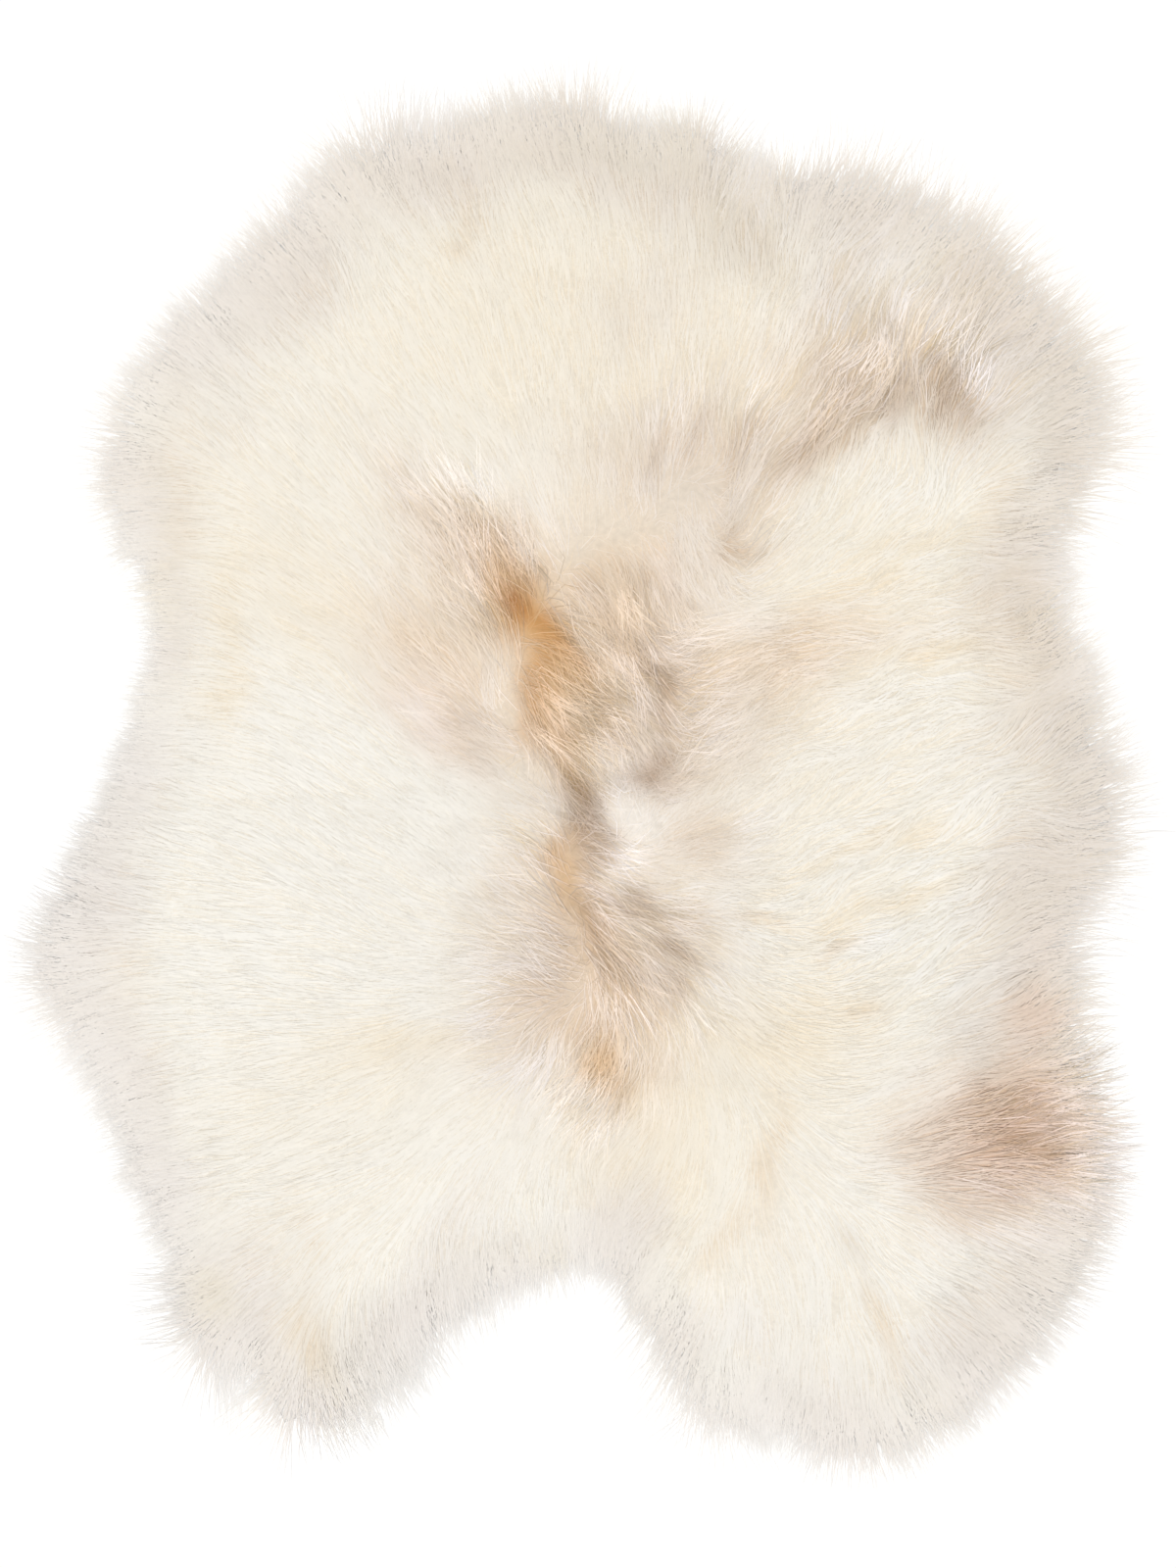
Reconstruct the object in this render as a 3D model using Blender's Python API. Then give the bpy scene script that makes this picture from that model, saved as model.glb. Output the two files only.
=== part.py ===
# Sheepskin rug, lying flat on the floor with its wool up.
# It is one whole tanned sheepskin: a flat skin, and the long combed fleece that grows from it.
# The fleece is a lumpy slab, and at its rim its locks lie on the floor past the skin's edge.
# Metres, +Z up. Seen from above, +Y points to the neck end and +X to the right.
# The origin is on the floor, at the middle of the rug's box.

import math
import random
from collections import namedtuple

import bmesh
import bpy
from mathutils import Vector, noise

# Driving dimensions, in metres.
RUG_LENGTH = 1.050          # neck wool to hind-leg wool, with the locks
SKIN_THICKNESS = 0.002      # the tanned skin
SKIN_GAP = 0.0003           # between the skin and the wool that stands over it
CROWN_HEIGHT = 0.037        # the wool over the body
RIM_HEIGHT = 0.017          # the wool where the rim's locks leave the slab
SHOULDER_RUN = 0.040        # how far in from the rim the wool takes to rise
RIM_MARGIN = 0.014          # wool on the floor between the skin's edge and the locks' roots
LOCK_COUNT = 184            # locks round the rim
LOCK_REACH = (0.80, 1.03)   # the least and most of the wool's reach that a lock's tip comes to
LOCK_WAIST = (0.45, 0.60)   # how far along it a lock is still broad
LOCK_PARTING = (0.09, 0.15)  # share of its width that a lock gives up there, on each side
LOCK_SINK = (0.50, 0.75)    # height left there, as a share of the slab's edge
LOCK_BEVEL = 0.15           # how much narrower than its underside a lock's top is, on each side
LOCK_TIP_WIDTH = 0.003
LOCK_TIP_HEIGHT = 0.002
RING_COUNT = 16             # rings of the slab's top, from its rim to its middle
STAPLE_RELIEF = 0.006       # height of the small lumps that the locks make on top
STAPLE_WIDTH = 0.034        # size of those lumps across the combing
STAPLE_LENGTH = 0.075       # size of those lumps along the combing
STAPLE_RADIUS = 0.250       # where they have that width; nearer the middle they fade out

# The cut edge of the skin, clockwise from the neck, and where the wool at each place reaches.
# Across is to the right of the middle and along is towards the neck, in metres.
Station = namedtuple("Station", "skin_across skin_along wool_across wool_along")
NECK = (
    Station(-0.006, 0.455, -0.004, 0.524),
    Station(0.086, 0.439, 0.105, 0.502),
    Station(0.108, 0.415, 0.123, 0.469),
)
RIGHT_SHOULDER = (
    Station(0.159, 0.409, 0.185, 0.469),
    Station(0.251, 0.365, 0.295, 0.417),
    Station(0.311, 0.312, 0.367, 0.356),
    Station(0.330, 0.281, 0.390, 0.310),
    Station(0.337, 0.255, 0.399, 0.270),
    Station(0.320, 0.218, 0.381, 0.218),
    Station(0.301, 0.179, 0.356, 0.174),
)
RIGHT_FLANK = (
    Station(0.324, 0.095, 0.377, 0.105),
    Station(0.343, 0.017, 0.411, 0.020),
    Station(0.345, -0.017, 0.421, -0.013),
    Station(0.331, -0.047, 0.415, -0.046),
    Station(0.311, -0.107, 0.378, -0.116),
    Station(0.309, -0.149, 0.371, -0.152),
)
RIGHT_HAUNCH = (
    Station(0.328, -0.237, 0.389, -0.235),
    Station(0.342, -0.273, 0.406, -0.277),
    Station(0.340, -0.306, 0.405, -0.319),
    Station(0.315, -0.369, 0.375, -0.395),
    Station(0.295, -0.398, 0.348, -0.433),
)
RIGHT_HIND_LEG = (
    Station(0.243, -0.442, 0.287, -0.490),
    Station(0.210, -0.458, 0.240, -0.518),
    Station(0.181, -0.461, 0.196, -0.526),
    Station(0.152, -0.451, 0.154, -0.512),
    Station(0.126, -0.431, 0.124, -0.479),
    Station(0.100, -0.431, 0.088, -0.492),
    Station(0.083, -0.409, 0.056, -0.461),
    Station(0.067, -0.373, 0.036, -0.402),
)
TAIL_NOTCH = (
    Station(0.030, -0.328, 0.010, -0.367),
    Station(-0.010, -0.319, -0.014, -0.373),
)
LEFT_HIND_LEG = (
    Station(-0.094, -0.350, -0.077, -0.407),
    Station(-0.131, -0.376, -0.109, -0.435),
    Station(-0.190, -0.428, -0.175, -0.490),
    Station(-0.215, -0.435, -0.219, -0.499),
    Station(-0.234, -0.413, -0.247, -0.461),
    Station(-0.269, -0.373, -0.322, -0.417),
    Station(-0.274, -0.343, -0.311, -0.376),
)
LEFT_FLANK = (
    Station(-0.292, -0.317, -0.333, -0.328),
    Station(-0.329, -0.211, -0.375, -0.222),
    Station(-0.362, -0.123, -0.421, -0.150),
    Station(-0.357, -0.079, -0.408, -0.090),
    Station(-0.316, 0.024, -0.355, 0.017),
    Station(-0.298, 0.108, -0.328, 0.105),
    Station(-0.301, 0.152, -0.335, 0.157),
)
LEFT_SHOULDER = (
    Station(-0.313, 0.220, -0.375, 0.224),
    Station(-0.318, 0.246, -0.382, 0.244),
    Station(-0.296, 0.292, -0.344, 0.295),
    Station(-0.230, 0.352, -0.276, 0.389),
    Station(-0.186, 0.399, -0.221, 0.452),
    Station(-0.149, 0.422, -0.178, 0.490),
    Station(-0.109, 0.442, -0.116, 0.506),
)
STATIONS = (
    NECK + RIGHT_SHOULDER + RIGHT_FLANK + RIGHT_HAUNCH + RIGHT_HIND_LEG
    + TAIL_NOTCH + LEFT_HIND_LEG + LEFT_FLANK + LEFT_SHOULDER
)

# Swells, tufts and partings of the fleece. Length and width are half sizes, turn is the
# angle of the length from +X in degrees, and rise is up from, or down into, the wool.
Swell = namedtuple("Swell", "across along length width turn rise")
SWELLS = (
    Swell(-0.041, 0.101, 0.050, 0.016, 106, -0.009),    # parting in the amber wool
    Swell(-0.008, -0.100, 0.130, 0.020, 100, -0.008),   # parting down the spine
    Swell(0.054, 0.032, 0.040, 0.014, 77, -0.009),      # valley where the two sides' wool meets
    Swell(0.045, 0.004, 0.030, 0.009, 0, -0.006),       # crease over the back's tuft
    Swell(0.030, -0.031, 0.024, 0.020, 90, 0.010),      # tuft on the back
    Swell(-0.098, 0.420, 0.018, 0.015, 0, 0.006),       # small round tuft at the neck
    Swell(-0.028, 0.343, 0.120, 0.055, 0, 0.005),       # neck
    Swell(0.188, 0.365, 0.036, 0.012, 30, -0.005),      # shoulder crease
    Swell(0.177, 0.277, 0.110, 0.026, -5, -0.006),      # valley in the brown shoulder wool
    Swell(-0.219, -0.075, 0.150, 0.090, 90, 0.005),     # left flank
    Swell(0.199, 0.010, 0.120, 0.080, 20, 0.005),       # right flank
    Swell(0.199, -0.222, 0.090, 0.080, 0, 0.004),       # right haunch
    Swell(0.000, -0.270, 0.070, 0.030, 90, -0.007),     # between the haunches
    Swell(0.141, -0.259, 0.034, 0.012, 109, -0.006),    # crease where the right leg's wool fans out
    Swell(-0.215, -0.350, 0.048, 0.014, 114, -0.007),   # crease at the left leg
)


def rounded(values, place):
    """A closed Catmull-Rom curve through the values, at a place counted in stations."""
    count = len(values)
    first = math.floor(place)
    t = place - first
    before, start, end, after = (values[(first + step) % count] for step in (-1, 0, 1, 2))
    bend = 2 * before - 5 * start + 4 * end - after
    twist = 3 * (start - end) + after - before
    return start + 0.5 * t * ((end - before) + t * (bend + t * twist))


drawn_length = max(s.wool_along for s in STATIONS) - min(s.wool_along for s in STATIONS)
plan_scale = RUG_LENGTH / drawn_length
SKIN_EDGE = [Vector((s.skin_across, s.skin_along, 0)) * plan_scale for s in STATIONS]
WOOL_EDGE = [Vector((s.wool_across, s.wool_along, 0)) * plan_scale for s in STATIONS]


def slab_edge(place):
    """Where the rim's locks leave the slab."""
    skin = rounded(SKIN_EDGE, place)
    return skin + (rounded(WOOL_EDGE, place) - skin).normalized() * RIM_MARGIN


def along_lock(place, share):
    """A point on the line between two locks, at a share of the way from root to tip."""
    return slab_edge(place).lerp(rounded(WOOL_EDGE, place), share)


def lock_places(rng):
    """Places round the rim between one lock and the next, so the locks' widths vary."""
    steps_per_station = 20
    width_spread = 0.30
    fine_places = [step / steps_per_station for step in range(len(STATIONS) * steps_per_station + 1)]
    lengths = [0.0]
    for start, end in zip(fine_places, fine_places[1:]):
        lengths.append(lengths[-1] + (slab_edge(end) - slab_edge(start)).length)
    places = []
    step = 0
    for lock in range(LOCK_COUNT):
        target = (lock + rng.uniform(-width_spread, width_spread)) * lengths[-1] / LOCK_COUNT
        target = max(target, 0.0)
        while lengths[step + 1] < target:
            step += 1
        share = (target - lengths[step]) / (lengths[step + 1] - lengths[step])
        places.append(fine_places[step] + share * (fine_places[step + 1] - fine_places[step]))
    return places


def swell_height(x, y):
    total = 0.0
    for swell in SWELLS:
        dx = x - swell.across * plan_scale
        dy = y - swell.along * plan_scale
        turn = math.radians(swell.turn)
        u = (dx * math.cos(turn) + dy * math.sin(turn)) / swell.length
        v = (dy * math.cos(turn) - dx * math.sin(turn)) / swell.width
        total += swell.rise * math.exp(-u * u - v * v)
    return total


def staple_height(x, y):
    """Small long lumps that lie along the combing, which runs out from the middle."""
    reach = math.hypot(x, y)
    if reach == 0:
        return 0.0
    around = STAPLE_RADIUS / STAPLE_WIDTH / reach
    fade = min(1.0, reach / STAPLE_RADIUS)
    return STAPLE_RELIEF * fade * noise.noise(Vector((x * around, y * around, reach / STAPLE_LENGTH)))


def wool_height(point, inset):
    """Height of the slab's top, at a distance in from its rim."""
    shoulder = 1 - math.exp(-inset / SHOULDER_RUN)
    lumps = swell_height(point.x, point.y) + staple_height(point.x, point.y)
    return RIM_HEIGHT + shoulder * (CROWN_HEIGHT - RIM_HEIGHT + lumps)


def ring_step(reach):
    """Which columns a ring keeps: all of them near the rim, and fewer towards the middle."""
    for least_reach, step in ((0.58, 1), (0.30, 2), (0.14, 4)):
        if reach > least_reach:
            return step
    return 8


def join_rings(bm, outer, inner):
    """Faces between two rings, of which the inner one has as many points or half as many."""
    ratio = len(outer) // len(inner)
    for k, near in enumerate(inner):
        near_next = inner[(k + 1) % len(inner)]
        span = [outer[(k * ratio + j) % len(outer)] for j in range(ratio + 1)]
        if ratio == 1:
            bm.faces.new((span[0], span[1], near_next, near))
        else:
            bm.faces.new((span[0], span[1], near))
            bm.faces.new((span[1], near_next, near))
            bm.faces.new((span[1], span[2], near_next))


def slab_top(bm, rim):
    """The lumpy top, as rings from the rim to a point in the middle. Returns its outer ring."""
    outermost = None
    outer = None
    for ring in range(RING_COUNT):
        reach = 1 - ring / RING_COUNT
        points = [point * reach for point in rim[::ring_step(reach)]]
        row = []
        for point in points:
            inset = point.length * (1 - reach) / reach
            row.append(bm.verts.new((point.x, point.y, wool_height(point, inset))))
        if outer is None:
            outermost = row
        else:
            join_rings(bm, outer, row)
        outer = row
    middle = Vector((0, 0, 0))
    peak = bm.verts.new((0, 0, wool_height(middle, rim[0].length)))
    for k, corner in enumerate(outer):
        bm.faces.new((corner, outer[(k + 1) % len(outer)], peak))
    return outermost


def lock_section(bm, left, right, height):
    """Four corners of a lock: two on the floor and two, nearer together, above them."""
    inward = (right - left) * LOCK_BEVEL
    rise = Vector((0, 0, height))
    corners = (left, right, right - inward + rise, left + inward + rise)
    return [bm.verts.new(corner) for corner in corners]


def rim_lock(bm, root, start, end, rng):
    """A tapered lock with four sides, grown from one face of the slab's edge wall.

    It keeps between the lines that part it from its neighbours, so locks stand apart
    but for their roots. Its underside lies level on the floor, and its top falls to the tip.
    """
    waist_share = rng.uniform(*LOCK_WAIST)
    waist_left = along_lock(start, waist_share)
    waist_right = along_lock(end, waist_share)
    gap = (waist_right - waist_left) * rng.uniform(*LOCK_PARTING)
    waist = lock_section(bm, waist_left + gap, waist_right - gap, RIM_HEIGHT * rng.uniform(*LOCK_SINK))
    reach = rng.uniform(*LOCK_REACH)
    tip_left = along_lock(start, reach)
    tip_right = along_lock(end, reach)
    tip = tip_left.lerp(tip_right, rng.uniform(0.3, 0.7))
    half_tip = (tip_right - tip_left).normalized() * LOCK_TIP_WIDTH / 2
    point = lock_section(bm, tip - half_tip, tip + half_tip, LOCK_TIP_HEIGHT)
    for near, far in ((root, waist), (waist, point)):
        for k in range(4):
            bm.faces.new((near[k], near[(k + 1) % 4], far[(k + 1) % 4], far[k]))
    bm.faces.new(point)


def skin_outline(places, gap):
    """The skin's cut edge at the locks' places, moved out by a gap."""
    edge = [rounded(SKIN_EDGE, place) for place in places]
    outline = []
    for k, point in enumerate(edge):
        run = (edge[(k + 1) % len(edge)] - edge[k - 1]).normalized()
        outline.append(point + Vector((-run.y, run.x, 0)) * gap)
    return outline


def finish_piece(name, bm, colour, roughness, offset):
    """Turn the mesh into a named object with its own material."""
    bmesh.ops.recalc_face_normals(bm, faces=bm.faces)
    bmesh.ops.translate(bm, verts=bm.verts, vec=offset)
    mesh = bpy.data.meshes.new(name)
    bm.to_mesh(mesh)
    bm.free()
    mesh.shade_smooth()
    mesh.set_sharp_from_angle(angle=math.radians(50))
    material = bpy.data.materials.new(name)
    material.use_nodes = True
    shader = material.node_tree.nodes["Principled BSDF"]
    shader.inputs["Base Color"].default_value = (*colour, 1)
    shader.inputs["Roughness"].default_value = roughness
    shader.inputs["Metallic"].default_value = 0
    mesh.materials.append(material)
    piece = bpy.data.objects.new(name, mesh)
    bpy.context.collection.objects.link(piece)


def make_fleece(places, rng):
    """The wool: a slab with a lumpy top, a recess for the skin below, and locks round its rim."""
    bm = bmesh.new()
    rim = [slab_edge(place) for place in places]
    top = slab_top(bm, rim)
    floor = [bm.verts.new(point) for point in rim]
    for k in range(LOCK_COUNT):
        after = (k + 1) % LOCK_COUNT
        root = [floor[k], floor[after], top[after], top[k]]
        end = places[after] if after else places[0] + len(STATIONS)
        rim_lock(bm, root, places[k], end, rng)
    recess_outline = skin_outline(places, SKIN_GAP)
    recess_depth = Vector((0, 0, SKIN_THICKNESS + SKIN_GAP))
    recess_mouth = [bm.verts.new(point) for point in recess_outline]
    recess_roof = [bm.verts.new(point + recess_depth) for point in recess_outline]
    join_rings(bm, floor, recess_mouth)
    join_rings(bm, recess_mouth, recess_roof)
    bm.faces.new(recess_roof)
    return bm


def make_skin(places):
    """The tanned skin: a flat sheet with the animal's outline, flesh side down."""
    bm = bmesh.new()
    outline = skin_outline(places, 0)
    flesh_side = [bm.verts.new(point) for point in outline]
    wool_side = [bm.verts.new(point + Vector((0, 0, SKIN_THICKNESS))) for point in outline]
    bm.faces.new(flesh_side)
    bm.faces.new(wool_side)
    join_rings(bm, flesh_side, wool_side)
    return bm


def box_middle(bm):
    """From the middle of the mesh's box, seen from above, to the origin."""
    across = [vert.co.x for vert in bm.verts]
    along = [vert.co.y for vert in bm.verts]
    return Vector((-(min(across) + max(across)) / 2, -(min(along) + max(along)) / 2, 0))


for old in list(bpy.data.objects):
    bpy.data.objects.remove(old, do_unlink=True)

rng = random.Random(7)
places = lock_places(rng)
fleece = make_fleece(places, rng)
skin = make_skin(places)
offset = box_middle(fleece)
finish_piece("hide", skin, colour=(0.62, 0.47, 0.32), roughness=0.85, offset=offset)
finish_piece("fleece", fleece, colour=(0.86, 0.80, 0.68), roughness=0.95, offset=offset)
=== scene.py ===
import math

import bmesh
import bpy
import numpy as np
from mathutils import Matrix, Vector
from mathutils.bvhtree import BVHTree


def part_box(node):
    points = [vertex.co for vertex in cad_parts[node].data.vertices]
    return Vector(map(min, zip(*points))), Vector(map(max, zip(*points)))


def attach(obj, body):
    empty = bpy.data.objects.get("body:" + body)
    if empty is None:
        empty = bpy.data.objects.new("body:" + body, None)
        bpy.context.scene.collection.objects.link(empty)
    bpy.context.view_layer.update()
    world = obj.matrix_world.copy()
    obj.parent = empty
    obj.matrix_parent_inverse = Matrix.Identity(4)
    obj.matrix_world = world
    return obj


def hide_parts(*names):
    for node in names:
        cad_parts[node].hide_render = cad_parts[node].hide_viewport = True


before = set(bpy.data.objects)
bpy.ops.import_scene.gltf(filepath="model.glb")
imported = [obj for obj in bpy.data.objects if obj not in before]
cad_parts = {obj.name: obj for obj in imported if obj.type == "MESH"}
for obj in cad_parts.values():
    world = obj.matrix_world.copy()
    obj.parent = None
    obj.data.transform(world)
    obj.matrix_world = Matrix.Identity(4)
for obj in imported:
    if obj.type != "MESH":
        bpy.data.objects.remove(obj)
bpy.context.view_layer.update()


# The studio: a plain pale floor, seen from straight above in soft, even light.
# The rug's neck end points to the top of the picture, and the rug fills most of it.
CAMERA_HEIGHT = 3.2
CAMERA_NEAREST = 0.05
PICTURE_LENGTH = 1.1744      # floor that the picture's long side takes in, neck to hind legs
PICTURE_MIDDLE = (0.001, -0.002)
SENSOR_LENGTH = 0.036
FLOOR_SIZE = 60.0
FLOOR_DROP = 0.0002          # how far the floor lies below the rug
FLOOR_WHITE = (1.0, 1.0, 1.0)
FLOOR_ROUGHNESS = 0.9
SKY_WHITE = (1.0, 1.0, 1.0)
DAYLIGHT = 0.30              # the even light from all round
LAMP_TILT = (0.06, -0.05, 0.0)  # the lamp hangs almost over the rug, a little to the lower left
LAMP_SPREAD = math.radians(14)
LAMP_POWER = 2.35
LAMP_COLOUR = (1.0, 0.99, 0.97)


def add_object(name, data):
    thing = bpy.data.objects.new(name, data)
    bpy.context.collection.objects.link(thing)
    return thing


def feed(node, feeds):
    """Set a node's inputs, by name or number, to values or to other nodes' outputs."""
    for place, value in feeds.items():
        if isinstance(place, int):
            socket = node.inputs[place]
        else:
            socket = next(s for s in node.inputs if s.name == place and s.enabled)
        if isinstance(value, bpy.types.NodeSocket):
            node.id_data.links.new(value, socket)
        else:
            socket.default_value = value


def plain_finish(name, colour, roughness):
    finish = bpy.data.materials.new(name)
    finish.use_nodes = True
    shader = finish.node_tree.nodes["Principled BSDF"]
    feed(shader, {"Base Color": (*colour, 1), "Roughness": roughness})
    return finish, shader


half = FLOOR_SIZE / 2
floor_mesh = bpy.data.meshes.new("floor")
floor_mesh.from_pydata(
    [(-half, -half, 0), (half, -half, 0), (half, half, 0), (-half, half, 0)], [], [(0, 1, 2, 3)]
)
floor_finish, shader = plain_finish("pale floor", FLOOR_WHITE, FLOOR_ROUGHNESS)
feed(shader, {"Specular IOR Level": 0.0})
floor_mesh.materials.append(floor_finish)
floor = add_object("floor", floor_mesh)
floor.location.z = -FLOOR_DROP

camera = add_object("camera", bpy.data.cameras.new("camera"))
camera.location = (*PICTURE_MIDDLE, CAMERA_HEIGHT)
camera.data.sensor_width = SENSOR_LENGTH * 1000
camera.data.lens = SENSOR_LENGTH * 1000 * CAMERA_HEIGHT / PICTURE_LENGTH
camera.data.clip_start = CAMERA_NEAREST
bpy.context.scene.camera = camera

lamp = add_object("lamp", bpy.data.lights.new("lamp", "SUN"))
lamp.location.z = CAMERA_HEIGHT
lamp.rotation_euler = LAMP_TILT
lamp.data.angle = LAMP_SPREAD
lamp.data.energy = LAMP_POWER
lamp.data.color = LAMP_COLOUR

world = bpy.data.worlds.new("studio")
world.use_nodes = True
feed(world.node_tree.nodes["Background"], {"Color": (*SKY_WHITE, 1), "Strength": DAYLIGHT})
bpy.context.scene.world = world
bpy.context.scene.view_settings.view_transform = "Standard"


# The skin: one tanned sheepskin, 2 mm thick, cut round its edge and lying flesh side down.
# It is soft napped leather, and only its edge and underside are free of wool.
SKIN_RINGS = 6
SKIN_UNEVEN = 0.0002         # how far its underside is from flat
SKIN_WAVES = ((43, 17), (-11, 31))  # how fast that changes, across and along, in radians a metre
SKIN_TAN = (0.66, 0.52, 0.38)
SKIN_PALE = (0.78, 0.68, 0.54)
SKIN_ROUGHNESS = 0.9
SKIN_SHEEN = 0.3
BLOTCH_SCALE = 14.0
BLOTCH_DETAIL = 6.0
NAP_SCALE = 900.0
NAP_DETAIL = 2.0
NAP_STRENGTH = 0.4
NAP_DEPTH = 0.0004


def corners_of(mesh):
    """A mesh's corners, as an array with a row for each."""
    flat = np.empty(len(mesh.vertices) * 3)
    mesh.vertices.foreach_get("co", flat)
    return flat.reshape(-1, 3)


def angle_of(points):
    return np.arctan2(points[:, 1], points[:, 0])


def outline_of(points):
    """The points in order round the middle, one for each that differs."""
    rounded = np.unique(np.round(points[:, :2], 5), axis=0)
    return rounded[np.argsort(angle_of(rounded))]


def add_ring(bm, places, heights):
    return [bm.verts.new((x, y, z)) for (x, y), z in zip(places, heights)]


def add_faces(bm, rings, middle=None):
    """A band of faces from each ring of corners to the next, and a fan from the last one."""
    for outer, inner in zip(rings, rings[1:]):
        for k in range(len(outer)):
            after = (k + 1) % len(outer)
            bm.faces.new((outer[k], outer[after], inner[after], inner[k]))
    if middle is not None:
        last = rings[-1]
        for k in range(len(last)):
            bm.faces.new((last[k], last[(k + 1) % len(last)], middle))


def closed_mesh(name, bm):
    bmesh.ops.recalc_face_normals(bm, faces=bm.faces)
    mesh = bpy.data.meshes.new(name)
    bm.to_mesh(mesh)
    bm.free()
    return mesh


def add_step(tree, kind, feeds, out=None, **settings):
    """A new node with its settings and its feeds. Gives its first output, or the one named."""
    node = tree.nodes.new(kind)
    for setting, value in settings.items():
        setattr(node, setting, value)
    feed(node, feeds)
    return next(s for s in node.outputs if s.enabled and out in (None, s.name))


def grain(tree, scale, detail):
    """An uneven amount all through a piece, 0 to 1."""
    place = add_step(tree, "ShaderNodeTexCoord", {}, "Object")
    feeds = {"Vector": place, "Scale": scale, "Detail": detail}
    return add_step(tree, "ShaderNodeTexNoise", feeds, "Fac")


def relief(tree, height, strength, depth):
    feeds = {"Height": height, "Strength": strength, "Distance": depth}
    return add_step(tree, "ShaderNodeBump", feeds, "Normal")


skin_outline = outline_of(corners_of(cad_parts["hide"].data))
skin_low, skin_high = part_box("hide")
bm = bmesh.new()
skin_edges = []
(across_a, along_a), (across_b, along_b) = SKIN_WAVES
for height, uneven in ((skin_low.z, SKIN_UNEVEN), (skin_high.z, 0.0)):
    skin_rings = []
    for ring in range(SKIN_RINGS):
        places = skin_outline * (1 - ring / SKIN_RINGS)
        x, y = places.T
        hollow = 1 + np.sin(across_a * x + along_a * y) * np.sin(across_b * x + along_b * y)
        skin_rings.append(add_ring(bm, places, height + uneven * hollow))
    add_faces(bm, skin_rings, bm.verts.new((0, 0, height)))
    skin_edges.append(skin_rings[0])
add_faces(bm, skin_edges)
skin_mesh = closed_mesh("skin", bm)

skin_finish, shader = plain_finish("napped skin", SKIN_TAN, SKIN_ROUGHNESS)
tree = skin_finish.node_tree
blotches = grain(tree, BLOTCH_SCALE, BLOTCH_DETAIL)
mixing = {"Factor": blotches, "A": (*SKIN_TAN, 1), "B": (*SKIN_PALE, 1)}
shade = add_step(tree, "ShaderNodeMix", mixing, "Result", data_type="RGBA")
nap = relief(tree, grain(tree, NAP_SCALE, NAP_DETAIL), NAP_STRENGTH, NAP_DEPTH)
feed(shader, {"Base Color": shade, "Normal": nap, "Sheen Weight": SKIN_SHEEN})
skin_mesh.materials.append(skin_finish)
skin = add_object("skin", skin_mesh)
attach(skin, "root")
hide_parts("hide")


# How the wool lies: it was combed by hand, out from the spine and the partings on the back,
# to the skin's edge, and past it onto the floor. The bed is a guide that the wool grows from.
BED_STEP = 0.005             # spacing of the guide's points
BED_MARGIN = 0.030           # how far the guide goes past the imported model
BED_DEPTH = 0.006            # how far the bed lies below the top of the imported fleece
RIM_BED = 0.0135             # height of the bed at the skin's edge
RIM_BLEND = 0.042            # how far in from there it takes to reach its full height
FLOOR_BED = 0.0008           # height of the bed where the wool ends
RIM_FALL = 1.1               # how it falls on the way there: 1 is a straight line
RIM_REACH = 0.68             # the share of the overhang by which it's down to the floor
BODY_SMOOTHINGS = 5
BED_SMOOTHINGS = 8
RIM_SMOOTHINGS = 4
TUFT_PLACE = (0.034, -0.033) # a short tuft that stands up beside the spine
TUFT_SIZE = (0.021, 0.034)
TUFT_HEIGHT = 0.007
TUFT_STEEPNESS = 1.5
LIE_SPREAD = 0.011           # how far one reading of the combing holds sway
RIM_RUN = 0.045              # how far in from the skin's edge its wool is longer and fans out
RIM_FAN = 1.1                # how strongly it fans out there, against the combing

STRAND_LENGTH = 0.066
WAVY_LENGTH = 0.054          # on the right flank, where the locks wave
BACK_LENGTH = 0.046          # and along the back, where they're worn short
RIM_LENGTH = 0.108           # the longest that a strand at the skin's edge may be
LONG_LOCK_PLACE = (0.045, -0.375)  # inside the right hind leg hang the longest locks
LONG_LOCK_SIZE = 0.045
LONG_LOCK_MORE = 0.040
STRIDE = 0.0015              # the steps by which a strand's room is found

FLANK_START = (0.08, -0.20)  # where the right flank begins, across and along
FLANK_BLEND = (0.08, 0.05)   # and how far it takes to be all there
BACK_MIDDLE = (0.02, -0.01)
BACK_SIZE = (0.14, 0.26)
WAVE_LENGTH = 0.054
GENTLE_WAVE = math.radians(7)
STRONG_WAVE = math.radians(15)
WAVE_AT_EDGE = 0.6           # the share of a wave that is left at the skin's edge
WAVE_FADE = 0.03             # and how far inwards it takes to grow by a whole one
CROOKEDNESS = 0.35           # how much of a wave's length the waves are put out of line by
CROOK_SIZES = (0.023, 0.019, 0.050)
CROOK_START = 2              # so that no crook starts on the middle line

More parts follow.
